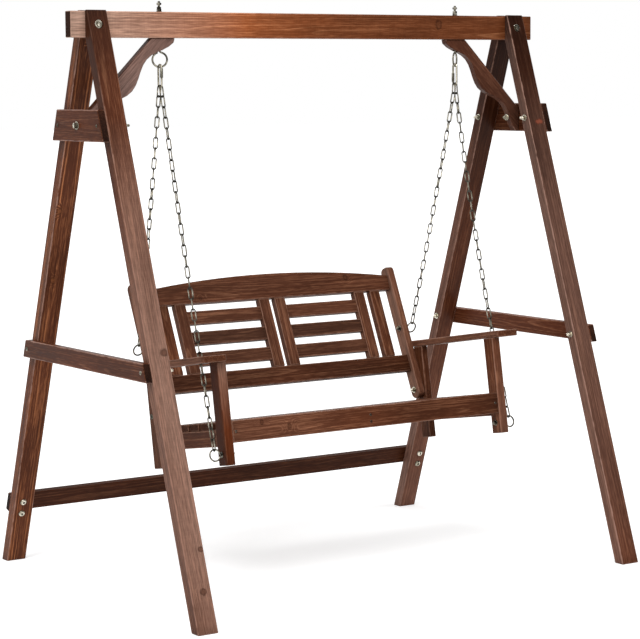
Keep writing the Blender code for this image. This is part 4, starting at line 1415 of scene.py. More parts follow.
@dataclass(frozen=True)
class EyeBolt(Fastener):
    """A bolt whose end is bent into a ring. It starts at the surface on the ring's side.

    Attributes:
        ring_radius: The ring's outer radius.
        wire: The radius of the ring's wire.
        neck: The distance between the ring and the surface.
        grip: The thickness that the bolt clamps.
        extra_nuts: Heights of further nuts above the first one.
    """

    ring_radius: float = 0.0200
    wire: float = 0.0025
    neck: float = 0.0040
    grip: float = 0.0310
    extra_nuts: tuple[float, ...] = ()
    washer_radius: float = 0.0090
    thread_end: float = 0.0040

    def add_eye(self, shape: Shape, seat: Numbers, direction: Numbers, plane: Numbers) -> None:
        """Adds the whole eye bolt to a mesh.

        Args:
            shape: The mesh.
            seat: The point where the bolt enters the wood on the ring's side.
            direction: The way that the bolt points, away from the ring.
            plane: A direction in the ring's plane, across the bolt.
        """
        place = placed(seat, direction, plane)
        middle = self.ring_radius - self.wire
        centre = Vector((0, 0, -self.neck - self.ring_radius))
        gap = math.asin(min(0.9, 2.3 * self.wire / middle))
        path = [Vector((0, 0, -self.washer - 0.0002))]
        bend = 5
        for k in range(bend):
            share = k / bend
            path.append(Vector((0, 0, -self.neck * 0.45 - share * (self.neck * 0.4))))
        steps = 46
        for k in range(steps + 1):
            angle = QUARTER_TURN - (FULL_TURN - gap) * k / steps
            path.append(centre + middle * Vector((math.cos(angle), 0, math.sin(angle))))
        path = [place @ point for point in path]
        normal = (place.to_3x3() @ Vector((0, 1, 0))).normalized()
        sweep(shape, self.rounded(path), normal, self.wire, WIRE_SIDES)
        self.add_washer(shape, place, -self.washer, self.washer_radius)
        self.add_washer(shape, place, self.grip, self.washer_radius)
        low = self.grip + self.washer
        for height in (0.0, *self.extra_nuts):
            turned_place = place @ Matrix.Rotation(0.7 * height / self.nut_height, 4, "Z")
            self.add_nut(shape, turned_place, low + height)
        top = low + self.nut_height + self.thread_end
        self.add_thread_end(shape, place, low, top)
        shank = self.shank_radius - self.shank_play
        rings = [(self.wire, -self.neck * 0.5), (shank, 0.0), (shank, low + 0.001)]
        turn_shape(shape, rings, SHANK_SIDES, place)

    @staticmethod
    def rounded(path: list[Vector]) -> list[Vector]:
        """Evens out the kink between the straight and the ring.

        Args:
            path: The middle of the wire.

        Returns:
            The smoother path.
        """
        eased = list(path)
        for _ in range(3):
            for k in range(3, 12):
                eased[k] = (eased[k - 1] + 2 * eased[k] + eased[k + 1]) / 4
        return eased


APEX_BOLT = Fastener(
    head=HeadStyle.HEXAGON,
    head_radius=0.0065,
    head_height=0.0055,
    head_washer_radius=0.0125,
    washer_radius=0.0125,
)
BRACKET_BOLT = Fastener(
    head=HeadStyle.HEXAGON, head_radius=0.0088, head_height=0.0085, head_washer_radius=0.0125
)
STRETCHER_BOLT = Fastener()
# These three kinds of bolt have heads darkened all over by painted shade, with some dirt.
BRACE_BOLT = Fastener(
    head_radius=0.0046, head_height=0.0022, head_washer_radius=0.0, head_grime=0.8, thread_end=0.0100
)
RAIL_BOLT = Fastener(
    head_radius=0.0060, head_height=0.0026, head_washer_radius=0.0, head_grime=0.6, thread_end=0.0080
)
STILE_BOLT = Fastener(head_radius=0.0085, head_height=0.0030, head_washer_radius=0.0, head_grime=0.8)


@dataclass(frozen=True)
class Screw:
    """A countersunk wood screw, of which only the head shows.

    Attributes:
        radius: The head's radius.
        proud: How far the head stands above the wood.
        recess: The depth of its cross.
    """

    radius: float = 0.0042
    proud: float = 0.0004
    recess: float = 0.0016

    def add(self, shape: Shape, spot: Numbers, outward: Numbers, turn: float) -> None:
        """Adds a screw to a mesh.

        Args:
            shape: The mesh.
            spot: The point on the wood's surface.
            outward: The way that the head faces.
            turn: The angle of its cross.
        """
        place = placed(spot, outward) @ Matrix.Rotation(turn, 4, "Z")
        r, high = self.radius, self.proud
        rings: list[Ring] = [
            (r * 0.4, -0.0030),
            (r * 0.97, -0.0002),
            (r, high * 0.4),
            (r * 0.93, high),
            (r * 0.72, high),
            cross(r * 0.62, r * 0.30, high),
            cross(r * 0.40, r * 0.22, high - self.recess),
        ]
        # Painted shade, with some dirt, under the head's rim and in its cross.
        turn_shape(shape, rings, SCREW_SIDES, place, (1.0, 0.9, 0.5, 0, 0, 0.9, 1.0))


# Looks of the frame's boards

# Besides the stain, these looks paint light and shade: pale values stand partly for weathered stain and
# partly for painted sheen, values below zero for painted shade, and the side values for painted light on
# one side, painted shade where negative.
BEAM_LOOK = BoardLook(
    BEAM_WOOD,
    tone=1.60,
    pale_start=1.16,
    pale_middle=-0.54,
    pale_end=-0.75,
    knot_share=0.05,
    knots=((0.478, 0.008, 0.0115),),
)
FRONT_LEG_LOOKS = {
    Side.LEFT: BoardLook(
        replace(FRAME_WOOD, pale=(0.316, 0.172, 0.124), saw_contrast=0.05),
        tone=0.97,
        pale_start=0.50,
        pale_middle=0.96,
        pale_end=-0.80,
        side_fade=-0.40,
        knots=((-0.115, -0.0215, 0.0095), (-0.806, -0.0085, 0.0085)),
    ),
    Side.RIGHT: BoardLook(
        replace(FRAME_WOOD, knot_heart=(0.270, 0.062, 0.030), ring_contrast=0.22, fibre_contrast=0.44),
        tone=0.62,
        tone_slope=-0.52,
        pale_start=0.04,
        pale_middle=0.32,
        pale_end=-0.14,
        side_fade=0.30,
        knot_share=0.0,
        knots=((0.5520, -0.0150, 0.0080), (0.5505, -0.0030, 0.0080)),
    ),
}
GOLDEN_WOOD = replace(
    FRAME_WOOD, hard_wood=(0.50, 0.185, 0.072), ring_contrast=0.66, knot_heart=(0.150, 0.048, 0.018)
)
BACK_LEG_LOOKS = {
    Side.LEFT: BoardLook(
        GOLDEN_WOOD,
        pale_start=0.02,
        pale_end=0.06,
        side_fade=-0.2,
        knots=((0.300, 0.019, 0.0085), (0.072, 0.008, 0.0085)),
    ),
    Side.RIGHT: BoardLook(
        replace(FRAME_WOOD, ring_contrast=0.20, fibre_contrast=0.40),
        tone=0.84,
        tone_slope=-0.55,
        pale_start=0.36,
        pale_end=-0.45,
        side_fade=0.36,
    ),
}
UPPER_BRACE_LOOKS = {
    Side.LEFT: BoardLook(FRAME_WOOD, tone=0.88, knot_share=0.0),
    Side.RIGHT: BoardLook(FRAME_WOOD, tone=0.72, knot_share=0.0),
}
SIDE_RAIL_LOOKS = {
    Side.LEFT: BoardLook(FRAME_WOOD, tone=0.86),
    Side.RIGHT: BoardLook(FRAME_WOOD, tone=1.05),
}
# The brackets' upper outer faces get painted shade.
BRACKET_LOOKS = {
    Side.LEFT: BoardLook(
        replace(FRAME_WOOD, pale=(0.31, 0.198, 0.166)),
        pale_start=0.66,
        pale_end=0.66,
        faded_way=(-0.69, 0, 0.72),
        side_fade=-1.6,
    ),
    Side.RIGHT: BoardLook(
        FRAME_WOOD, tone=0.80, pale_start=0.05, pale_end=0.15, faded_way=(0.69, 0, 0.72), side_fade=-1.6
    ),
}
STRETCHER_LOOK = BoardLook(FRAME_WOOD, tone=0.60)


# Frame


@dataclass
class GardenFrame(Assembly):
    """The fixed A-frame: beam, legs, braces, rails, stretcher and the bolts that hold them.

    Attributes:
        stretcher_bolts: The place of each bolt of the stretcher, with its Y and Z.
        eye_seat: The height at which the eye bolts enter the brackets.
        eye_rise: How far the eye bolts stand above the beam.
        eye_nuts: Heights of their further nuts above the first one.
        eye_turns: How far each ring is turned from the beam's direction.
    """

    beam_middle: float = 1.7080
    beam_bottom: float = 1.6690
    beam_height: float = 0.0780
    leg_middle_x: float = 0.7850
    leg_inner_x: float = 0.7520
    leg_thickness: float = 0.0370
    apex_seat: float = 0.03907
    brace_outer_x: float = 0.8418
    brace_middle: float = 1.4120
    bracket_grip_x: float = 0.77552
    brace_bolt_y: float = 0.1230
    rail_middle: float = 0.7150
    rail_bolt_y: float = 0.3600
    stretcher_thickness: float = 0.0200
    stretcher_bolts: tuple[tuple[str, float, float], ...] = (
        ("upper", 0.55017, 0.21342),
        ("lower", 0.56333, 0.17458),
    )
    stretcher_bolt_x: float = 0.7900
    eye_seat: float = 1.6335
    eye_rise: float = 0.0320
    eye_nuts: tuple[float, ...] = (0.0066, 0.0190)
    eye_turns: dict[Side, float] = field(
        default_factory=lambda: {Side.LEFT: math.radians(-34), Side.RIGHT: math.radians(37)}
    )

    def build(self) -> None:
        """Dresses the boards and adds the metalwork."""
        self.dress_board("beam", BEAM_LOOK, ACROSS, AHEAD)
        for side in Side:
            self.dress_side(side)
            self.add_bolts(side)
            self.add_eye_bolt(side)
        self.dress_board("rear_stretcher", STRETCHER_LOOK, ACROSS, AHEAD)

    def dress_side(self, side: Side) -> None:
        """The boards of one A: two legs, a brace, a side rail and a corner bracket.

        Args:
            side: The A's side.
        """
        word = side.word
        front_up, front_face = (0, LEG_RUN, LEG_RISE), (0, -LEG_RISE, LEG_RUN)
        back_up, back_face = (0, -LEG_RUN, LEG_RISE), (0, -LEG_RISE, -LEG_RUN)
        slope = (side.value * 0.72, 0, -0.69)
        self.dress_board("leg_front_" + word, FRONT_LEG_LOOKS[side], front_up, front_face)
        self.dress_board("leg_back_" + word, BACK_LEG_LOOKS[side], back_up, back_face)
        self.dress_board("upper_brace_" + word, UPPER_BRACE_LOOKS[side], REARWARD, LEFTWARD)
        self.dress_board("side_rail_" + word, SIDE_RAIL_LOOKS[side], REARWARD, LEFTWARD)
        self.dress_board("corner_bracket_" + word, BRACKET_LOOKS[side], slope, AHEAD)

    def add_bolt(self, name: str, bolt: Fastener, start: Numbers, direction: Numbers, grip: float) -> None:
        """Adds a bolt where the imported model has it.

        Args:
            name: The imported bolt's name.
            bolt: Its shape.
            start: The point under its head.
            direction: The way that it points.
            grip: The thickness that it clamps.
        """
        shape = metal_shape()
        bolt.add(shape, start, direction, grip)
        finish_metal(add_piece(name + "_turned", shape, FRAME_BODY), HARDWARE, name)

    def add_bolts(self, side: Side) -> None:
        """The bolts of one A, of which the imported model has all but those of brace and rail.

        Args:
            side: The A's side.
        """
        x, word = side.value, side.word
        outward, inward = Vector((0, LEG_RISE, LEG_RUN)), (-x, 0, 0)
        start = (x * self.leg_middle_x, -self.apex_seat, self.beam_middle)
        self.add_bolt("apex_bolt_" + word, APEX_BOLT, start, REARWARD, 2 * self.apex_seat)
        start = (x * self.brace_outer_x, 0, self.brace_middle)
        grip = self.brace_outer_x - self.bracket_grip_x
        self.add_bolt("bracket_bolt_" + word, BRACKET_BOLT, start, inward, grip)
        grip = self.leg_thickness + FIT_GAP + self.stretcher_thickness
        for level, y, z in self.stretcher_bolts:
            start = Vector((x * self.stretcher_bolt_x, y, z)) - outward * self.leg_thickness
            self.add_bolt(f"stretcher_bolt_{level}_{word}", STRETCHER_BOLT, start, outward, grip)
        grip = self.brace_outer_x - self.leg_inner_x
        for group, bolt, height, reach in (
            ("brace", BRACE_BOLT, self.brace_middle, self.brace_bolt_y),
            ("rail", RAIL_BOLT, self.rail_middle, self.rail_bolt_y),
        ):
            shape = metal_shape()
            for y in (-reach, reach):
                bolt.add(shape, (x * self.brace_outer_x, y, height), inward, grip)
            finish_metal(add_piece(group + "_bolts_" + word, shape, FRAME_BODY), HARDWARE)

    def add_eye_bolt(self, side: Side) -> None:
        """The long eye bolt through bracket and beam that carries one end of the swing.

        Args:
            side: The bolt's side.
        """
        turn = self.eye_turns[side]
        eye = EyeBolt(
            ring_radius=0.0250,
            wire=0.0030,
            neck=0.0040,
            grip=self.beam_bottom + self.beam_height - self.eye_seat,
            extra_nuts=self.eye_nuts,
            thread_end=self.eye_rise - Fastener.washer - Fastener.nut_height,
        )
        shape = metal_shape()
        plane = (math.cos(turn), math.sin(turn), 0)
        eye.add_eye(shape, (side.value * HANGER_X, 0, self.eye_seat), UP, plane)
        name = "beam_eye_bolt_" + side.word
        finish_metal(add_piece(name + "_bent", shape, FRAME_BODY), EYE_STEEL, name)


# Chains


@dataclass
class QuickLink:
    """An oblong link with a mouth that a threaded sleeve closes.

    Attributes:
        side: The end of the swing that it hangs at.
        axis_height: The height of the axis that the swing turns on.
        length: Its length outside.
        width: Its width outside.
        wire: The radius of its wire.
        top: How far it reaches above the axis.
        mouth: The height of its opening.
        sleeve_length: The length of its sleeve.
        sleeve_radius: The sleeve's radius, to its corners.
        sleeve_to_bend: How far the sleeve stands off the bend.
        sleeve_to_mouth: How far the sleeve reaches past the mouth.
    """

    side: Side
    axis_height: float = 1.5825
    length: float = 0.0749
    width: float = 0.0250
    wire: float = 0.0030
    top: float = 0.0102
    mouth: float = 0.0080
    sleeve_length: float = 0.0280
    sleeve_radius: float = 0.0047
    sleeve_to_bend: float = 0.0015
    sleeve_to_mouth: float = 0.0040

    def build(self) -> None:
        """Makes the link and its sleeve."""
        sign = self.side.value
        centre = Vector((sign * HANGER_X, 0, self.axis_height + self.top - self.length / 2))
        near_top = -sign
        sleeve_end = near_top * (self.length / 2 - self.width / 2 - self.sleeve_to_bend)
        mouth = sleeve_end - near_top * (self.sleeve_to_mouth + self.mouth / 2)
        across = Vector((0, sign, 0))
        half = self.width / 2 - self.wire
        straight = centre + across * half
        loop = oblong_path(centre, Vector(UP), across, self.length - 2 * self.wire, 2 * half, 12)
        ends = [straight + Vector((0, 0, mouth + side * self.mouth / 2)) for side in (1, -1)]
        shape = metal_shape()
        sweep(shape, [ends[0], *loop[1:], ends[1]], Vector(ACROSS), self.wire, WIRE_SIDES)
        low, high = sorted((sleeve_end, sleeve_end - near_top * self.sleeve_length))
        edges = sorted((mouth - self.mouth / 2, mouth + self.mouth / 2))
        screw, clear, shortest = Matrix.Translation(straight), 0.0005, 0.0015
        for start, end in ((low - 0.004, edges[0] - clear), (edges[1] + clear, high + clear)):
            if end - start > shortest:
                cut_thread(shape, start, end, self.wire - 0.0002, self.wire + 0.0003, 0.0010, screw)
        name = "quick_link_" + self.side.word
        finish_metal(add_piece(name + "_bent", shape, SWING_BODY), CHAIN_STEEL, name)
        self.add_sleeve(straight + Vector((0, 0, (low + high) / 2)))

    def add_sleeve(self, middle: Vector) -> None:
        """The sleeve: a long six-sided nut that slides on the link's straight side.

        Args:
            middle: The sleeve's middle.
        """
        half, corner = self.sleeve_length / 2, self.sleeve_radius
        face, chamfer, lip = corner * HEXAGON_FLAT * 0.93, 0.6, 0.0008
        shape = metal_shape()
        rings: list[Ring] = [
            (self.wire + 0.0004, -half + lip),
            (self.wire + 0.0006, -half),
            (face, -half),
            hexagon(corner, -half, -chamfer),
            hexagon(corner, half, chamfer),
            (face, half),
            (self.wire + 0.0006, half),
            (self.wire + 0.0004, half - lip),
        ]
        turn_shape(shape, rings, HEXAGON_SIDES, Matrix.Translation(middle))
        name = "quick_link_sleeve_" + self.side.word
        piece = add_piece(name + "_turned", shape, "sleeve_" + self.side.word)
        finish_metal(piece, SLEEVE_STEEL, name)


@dataclass
class Chain:
    """A chain of long welded links, each of which hangs in the one above it.

    Attributes:
        side: The end of the swing that it hangs at.
        end: The end of the bench that it holds.
        ring_centre: The middle of the bench's ring.
        ring_radius: The ring's outer radius.
        links: How many links it has.
        sag: How far its middle hangs below a straight line.
        plumb_top: Whether its first link hangs plumb.
        ring_wire: The radius of the bench's ring's wire.
        wire: The radius of its own wire.
        width: The width of a link outside.
        slack: The play between two links.
        top: Where it meets the quick link, on the right side and at the rear.
        weld: How much the wire swells where its ends were welded.
        clean_share: The share of a link's half, from its middle, that has no dirt and no
            painted shade.
        grime_rise: The share over which the dirt and painted shade grow from none to full.
        turning_links: How many links at each end it takes to turn from square.
        mean_twist: The turn of the links between, in degrees.
        twist_wander: How much that turn wavers, in degrees.
    """

    side: Side
    end: End
    ring_centre: Vector
    ring_radius: float
    links: int
    sag: float
    plumb_top: bool
    ring_wire: float = 0.0025
    wire: float = 0.0020
    width: float = 0.0160
    slack: float = 0.0001
    top: Point = (HANGER_X, 0.0035, 1.5280)
    weld: float = 1.14
    clean_share: float = 0.44
    grime_rise: float = 0.28
    turning_links: float = 3.0
    mean_twist: float = 44.0
    twist_wander: float = 14.0

    def lines(self) -> list[tuple[Vector, Vector]]:
        """Where each link hangs.

        Returns:
            The points where each link meets those above and below it.
        """
        start = Vector((self.side.value * self.top[0], self.end.value * self.top[1], self.top[2]))
        toward = (start - self.ring_centre).normalized()
        stop = self.ring_centre + toward * (self.ring_radius - 2 * self.ring_wire - self.wire - FIT_GAP)
        lap = 2 * self.wire + self.slack
        first, last = start - toward * lap / 2, stop + toward * lap / 2
        points = [first]
        if self.plumb_top:
            pitch = (first - last).length / self.links
            points.append(first + Vector((0, -toward.y * pitch * 0.35, -pitch * 0.98)))
        chord = last - points[-1]
        below = (Vector((0, 0, -1)) + chord.normalized() * chord.normalized().z).normalized()
        origin, rest = points[-1], self.links - len(points) + 1
        for k in range(1, rest + 1):
            share = k / rest
            points.append(origin + chord * share + below * (4 * self.sag * share * (1 - share)))
        return list(zip(points, points[1:]))

    def build(self) -> None:
        """Makes the chain as one piece."""
        name = f"chain_{self.end.word}_{self.side.word}"
        draw = random.Random(name)
        shape = metal_shape()
        grime = shape.verts.layers.float[GRIME_AND_SHADE]
        for k, (high, low) in enumerate(self.lines()):
            down = (low - high).normalized()
            across = (Vector((1, 0, 0)) - down.x * down).normalized()
            across = Matrix.Rotation(self.twist(k) + math.radians(draw.uniform(-6, 6)), 3, down) @ across
            sideways = down.cross(across)
            wide, normal = (across, sideways) if k % 2 == 0 else (sideways, across)
            length = (low - high).length + 2 * self.wire + self.slack
            middle = (high + low) / 2
            path = oblong_path(middle, down, wide, length, self.width - 2 * self.wire, 9)
            before = len(shape.verts)
            sweep(shape, path, normal, self.weld_radius, 9, closed=True)
            shape.verts.ensure_lookup_table()
            # Painted shade, with some dirt, darkens each link towards its ends, where it meets its
            # neighbours.
            for point in shape.verts[before:]:
                share = abs((point.co - middle).dot(down)) / (length / 2)
                point[grime] = min(max((share - self.clean_share) / self.grime_rise, 0.0), 1.0)
        piece = add_piece(name + "_links", shape, SWING_BODY, 60.0)
        finish_metal(piece, CHAIN_STEEL, name)

    def twist(self, k: int) -> float:
        """How far a link has turned around the chain: square at both ends, and about 45 degrees between.

        Args:
            k: The link's place in the chain.

        Returns:
            The angle.
        """
        from_end = min(k + 0.5, self.links - 1 - k, self.turning_links) / self.turning_links
        phase = 0.23 * k + 1.3 * self.side.value + 2.1 * self.end.value
        return -math.radians(from_end * (self.mean_twist + self.twist_wander * math.sin(phase)))

    def weld_radius(self, step: int) -> float:
        """The wire's radius at a point of a link, which swells where its ends were welded."""
        return self.wire * (self.weld if step == 0 else 1.0)


# Looks of the bench's boards

# Besides the stain, these looks paint light and shade: pale values stand partly for weathered stain and
# partly for painted sheen, values below zero for painted shade, and the side values for painted light on
# one side, painted shade where negative.
FRONT_POST_LOOKS = {
    # The left post's outer face gets painted shade, and the post is darker at its foot.
    Side.LEFT: BoardLook(
        replace(BENCH_WOOD, soft_wood=(0.100, 0.022, 0.006), hard_wood=(0.200, 0.060, 0.020)),
        pale_start=-0.45,
        pale_end=0.85,
        side_fade=-1.25,
    ),
    Side.RIGHT: BoardLook(BENCH_WOOD, tone=1.10, pale_start=0.35, pale_end=0.05, side_fade=-0.15),
}
STILE_LOOKS = {
    Side.LEFT: BoardLook(BENCH_WOOD, tone=1.36, pale_start=0.25, pale_end=0.25),
    Side.RIGHT: BoardLook(BENCH_WOOD, tone=1.36, pale_start=0.25, pale_end=0.25, side_fade=0.65),
}
BATTEN_LOOKS = {Side.LEFT: BoardLook(BENCH_WOOD, tone=1.25), Side.RIGHT: BoardLook(BENCH_WOOD)}
REAR_POST_LOOK = BoardLook(BENCH_WOOD, tone=0.85)
ARM_LOOK = BoardLook(replace(BENCH_WOOD, end_darkness=0.0), tone=1.08, pale_start=0.42, pale_end=0.24)
FRONT_RAIL_LOOK = BoardLook(
    BENCH_WOOD,
    tone=1.05,
    pale_start=0.15,
    pale_middle=0.12,
    pale_end=-0.45,
    knots=((-0.300, -0.002, 0.0065),),
)
INNER_RAIL_LOOK = BoardLook(BENCH_WOOD, tone=0.9)
SEAT_SLAT_LOOK = BoardLook(BENCH_WOOD, pale_start=0.15, pale_end=0.10)
TOP_RAIL_LOOK = BoardLook(BENCH_WOOD, tone=1.12, pale_start=0.10, pale_end=0.04)
BOTTOM_RAIL_LOOK = BoardLook(BENCH_WOOD, tone=0.85, pale_start=-0.15, pale_middle=0.25, pale_end=-0.35)
PANEL_LOOK = BoardLook(BENCH_WOOD, pale_start=0.10, pale_end=0.10)


# Bench


@dataclass
class Bench(Assembly):
    """The two-seat bench: posts, arms, a slatted seat and a back with two ladder panels.

    Attributes:
        panel_slat_tones: How light each slat of a ladder panel is, from the lowest.
        slat_screws: Where the screws of a seat slat stand along it.
        first_slat_screws: Where those of the front slat stand.
        slat_screw_reach: How far the two screws of a pair stand from the slat's middle.
        rail_screws: Each screw in the front seat rail, along it and upward.
        stile_screws: Heights of the screws in a stile.
        arm_screws: How far behind the post's face the screws of an arm stand.
        front_eye: Where the front eye bolts stand: their depth and height.
        rear_eye: Where the rear ones stand on the stiles.
        stile_bolt: Where the bolt in the foot of a stile stands.
        chain_sag: How far the middle of each chain hangs below a straight line.
    """

    half_width: float = 0.5320
    post_width: float = 0.0310
    arm_top: float = 0.3285
    stile_outer_x: float = 0.5067
    stile_inner_x: float = 0.4817
    stile_depth: float = 0.0450
    rail_thickness: float = 0.0240
    panel_low: float = 0.2968
    panel_high: float = 0.5297
    panel_inner_x: float = 0.0105
    panel_outer_x: float = 0.3680
    panel_stile: float = 0.0400
    panel_slat_tones: tuple[float, ...] = (0.85, 0.50, 1.06)
    panel_slat_height: float = 0.0445
    panel_slat_thickness: float = 0.0180
    panel_slat_tenon: float = 0.004
    seat_slats: int = 6
    seat_slat_width: float = 0.0530
    seat_slat_gap: float = 0.0085
    seat_slat_start: float = 0.0260
    seat_top: float = 0.1298
    slat_screws: tuple[float, ...] = (-0.512, -0.004, 0.512)
    first_slat_screws: tuple[float, ...] = (-0.488, 0.0, 0.488)
    slat_screw_reach: float = 0.013
    rail_screws: tuple[tuple[float, float], ...] = (
        (-0.489, 0.098),
        (0.489, 0.098),
        (0.0, 0.104),
        (0.0, 0.083),
    )
    stile_screws: tuple[float, ...] = (0.2530, 0.2830, 0.5440, 0.5660)
    arm_screws: tuple[float, ...] = (0.010, 0.036)
    front_eye: tuple[float, float] = (0.0230, 0.0340)
    rear_eye: tuple[float, float] = (0.0170, 0.3920)
    stile_bolt: tuple[float, float] = (0.4240, 0.1630)
    rear_ring: float = 0.0195
    chain_links: dict[End, int] = field(default_factory=lambda: {End.FRONT: 34, End.REAR: 26})
    chain_sag: dict[tuple[End, Side], float] = field(
        default_factory=lambda: {
            (End.FRONT, Side.LEFT): 0.004,
            (End.FRONT, Side.RIGHT): 0.018,
            (End.REAR, Side.LEFT): 0.007,
            (End.REAR, Side.RIGHT): 0.004,
        }
    )

    def build(self) -> None:
        """Dresses the boards, and adds the panels, the screws, the eye bolts and the chains."""
        self.dress_seat()
        for side in Side:
            self.dress_side(side)
            self.add_panel(side)
            QuickLink(side).build()
            for end in End:
                centre, ring = self.add_eye_bolt(side, end)
                links, sag = self.chain_links[end], self.chain_sag[end, side]
                Chain(side, end, centre, ring, links, sag, plumb_top=side is Side.RIGHT).build()
            self.add_stile_bolt(side)
        self.dress_back()
        self.add_screws()

    def dress_seat(self) -> None:
        """The seat's rails, bearer and slats."""
        self.dress_board("front_seat_rail", FRONT_RAIL_LOOK, ACROSS, AHEAD, BENCH_FRAME)
        self.dress_board("rear_seat_rail", INNER_RAIL_LOOK, ACROSS, AHEAD, BENCH_FRAME)
        self.dress_board("seat_bearer", INNER_RAIL_LOOK, REARWARD, ACROSS, BENCH_FRAME)
        for k in range(self.seat_slats):
            look = replace(SEAT_SLAT_LOOK, tone=1.0 + 0.06 * (k % 3 - 1))
            self.dress_board(f"seat_slat_{k + 1}", look, ACROSS, UP, BENCH_FRAME)

    def dress_side(self, side: Side) -> None:
        """The posts, arm and seat rail of one side.

        Args:
            side: The side.
        """
        word = side.word
        self.dress_board("front_post_" + word, FRONT_POST_LOOKS[side], UP, AHEAD, BENCH_FRAME)
        self.dress_board("rear_post_" + word, REAR_POST_LOOK, UP, AHEAD, BENCH_FRAME)
        self.dress_board("arm_" + word, ARM_LOOK, REARWARD, UP, BENCH_FRAME)
        self.dress_board("seat_side_rail_" + word, INNER_RAIL_LOOK, REARWARD, LEFTWARD, BENCH_FRAME)
        self.dress_board("back_stile_" + word, STILE_LOOKS[side], UP, AHEAD, BACK_FRAME)
        self.dress_board("back_batten_" + word, BATTEN_LOOKS[side], UP, AHEAD, BACK_FRAME)

    def dress_back(self) -> None:
        """The back's top and bottom rails."""
        self.dress_board("back_top_rail", TOP_RAIL_LOOK, ACROSS, AHEAD, BACK_FRAME)
        self.dress_board("back_bottom_rail", BOTTOM_RAIL_LOOK, ACROSS, AHEAD, BACK_FRAME)

    def add_plank(self, name: str, low: Numbers, high: Numbers, along: Numbers, tone: float) -> Object:
        """Makes a straight board of the back.

        Args:
            name: Its name.
            low: Its lowest corner, in the frame of the back.
            high: Its highest corner.
            along: Its direction, in the frame of the back.
            tone: Makes its stain lighter or darker.

        Returns:
            The board.
        """
        shape = bmesh.new()
        size = Vector(high) - Vector(low)
        middle = Matrix.Translation((Vector(low) + Vector(high)) / 2)
        bmesh.ops.create_cube(shape, size=1, matrix=BACK_FRAME @ middle @ Matrix.Diagonal((*size, 1)))
        piece = add_piece(name, shape, SWING_BODY)
        round_own_edges(piece)
        turn = BACK_FRAME.to_3x3()
        look = replace(PANEL_LOOK, tone=tone)
        measured = Board.around(piece, turn @ Vector(along), turn @ Vector(AHEAD), look)
        dress(piece, BENCH_WOOD.material(measured))
        return piece

    def add_panel(self, side: Side) -> None:
        """A ladder panel of the back: two uprights with slats let into them.

        Args:
            side: The panel's side.
        """
        x = side.value
        name = "back_panel_" + side.word
        near = (self.stile_depth - self.rail_thickness) / 2
        far = near + self.rail_thickness
        spans = {
            "inner": (self.panel_inner_x, self.panel_inner_x + self.panel_stile),
            "outer": (self.panel_outer_x - self.panel_stile, self.panel_outer_x),
        }
        for word, (start, end) in spans.items():
            low_x, high_x = sorted((x * start, x * end))
            low, high = (low_x, near, self.panel_low), (high_x, far, self.panel_high)
            piece = self.add_plank(f"{name}_{word}_upright", low, high, UP, 1.05)
            if word == "inner":
                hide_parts(name)
        slat_near = (self.stile_depth - self.panel_slat_thickness) / 2
        clear = self.panel_high - self.panel_low
        slats = len(self.panel_slat_tones)
        gap = (clear - slats * self.panel_slat_height) / (slats + 1)
        start, end = spans["inner"][1] - self.panel_slat_tenon, spans["outer"][0] + self.panel_slat_tenon
        low_x, high_x = sorted((x * start, x * end))
        for k, tone in enumerate(self.panel_slat_tones):
            low_s = self.panel_low + gap + k * (self.panel_slat_height + gap)
            low = (low_x, slat_near, low_s)
            high = (high_x, slat_near + self.panel_slat_thickness, low_s + self.panel_slat_height)
            self.add_plank(f"{name}_slat_{k + 1}", low, high, ACROSS, tone)

    def add_eye_bolt(self, side: Side, end: End) -> tuple[Vector, float]:
        """Adds an eye bolt of the bench.

        Args:
            side: The side of the bench.
            end: Its front or its rear.

        Returns:
            The middle and the outer radius of the bolt's ring.
        """
        front = end is End.FRONT
        place = BENCH_FRAME if front else BACK_FRAME
        depth, height = self.front_eye if front else self.rear_eye
        thickness = self.stile_outer_x - self.stile_inner_x
        eye = EyeBolt() if front else EyeBolt(ring_radius=self.rear_ring, grip=thickness)
        seat_x = self.half_width if front else self.stile_outer_x
        seat = place @ Vector((side.value * seat_x, depth, height))
        centre = seat + Vector((side.value * (eye.neck + eye.ring_radius), 0, 0))
        top = Vector((side.value * Chain.top[0], end.value * Chain.top[1], Chain.top[2]))
        shape = metal_shape()
        eye.add_eye(shape, seat, (-side.value, 0, 0), top - centre)
        name = f"bench_eye_bolt_{end.word}_{side.word}"
        finish_metal(add_piece(name + "_bent", shape, SWING_BODY), RING_STEEL, name)
        return centre, eye.ring_radius

    def add_stile_bolt(self, side: Side) -> None:
        """The bolt that clamps the foot of a stile to the rear post.

        Args:
            side: The stile's side.
        """
        shape = metal_shape()
        start = BENCH_FRAME @ Vector((side.value * self.half_width, *self.stile_bolt))
        STILE_BOLT.add(shape, start, (-side.value, 0, 0), self.half_width - self.stile_inner_x)
        finish_metal(add_piece("stile_bolt_" + side.word, shape, SWING_BODY), HARDWARE)

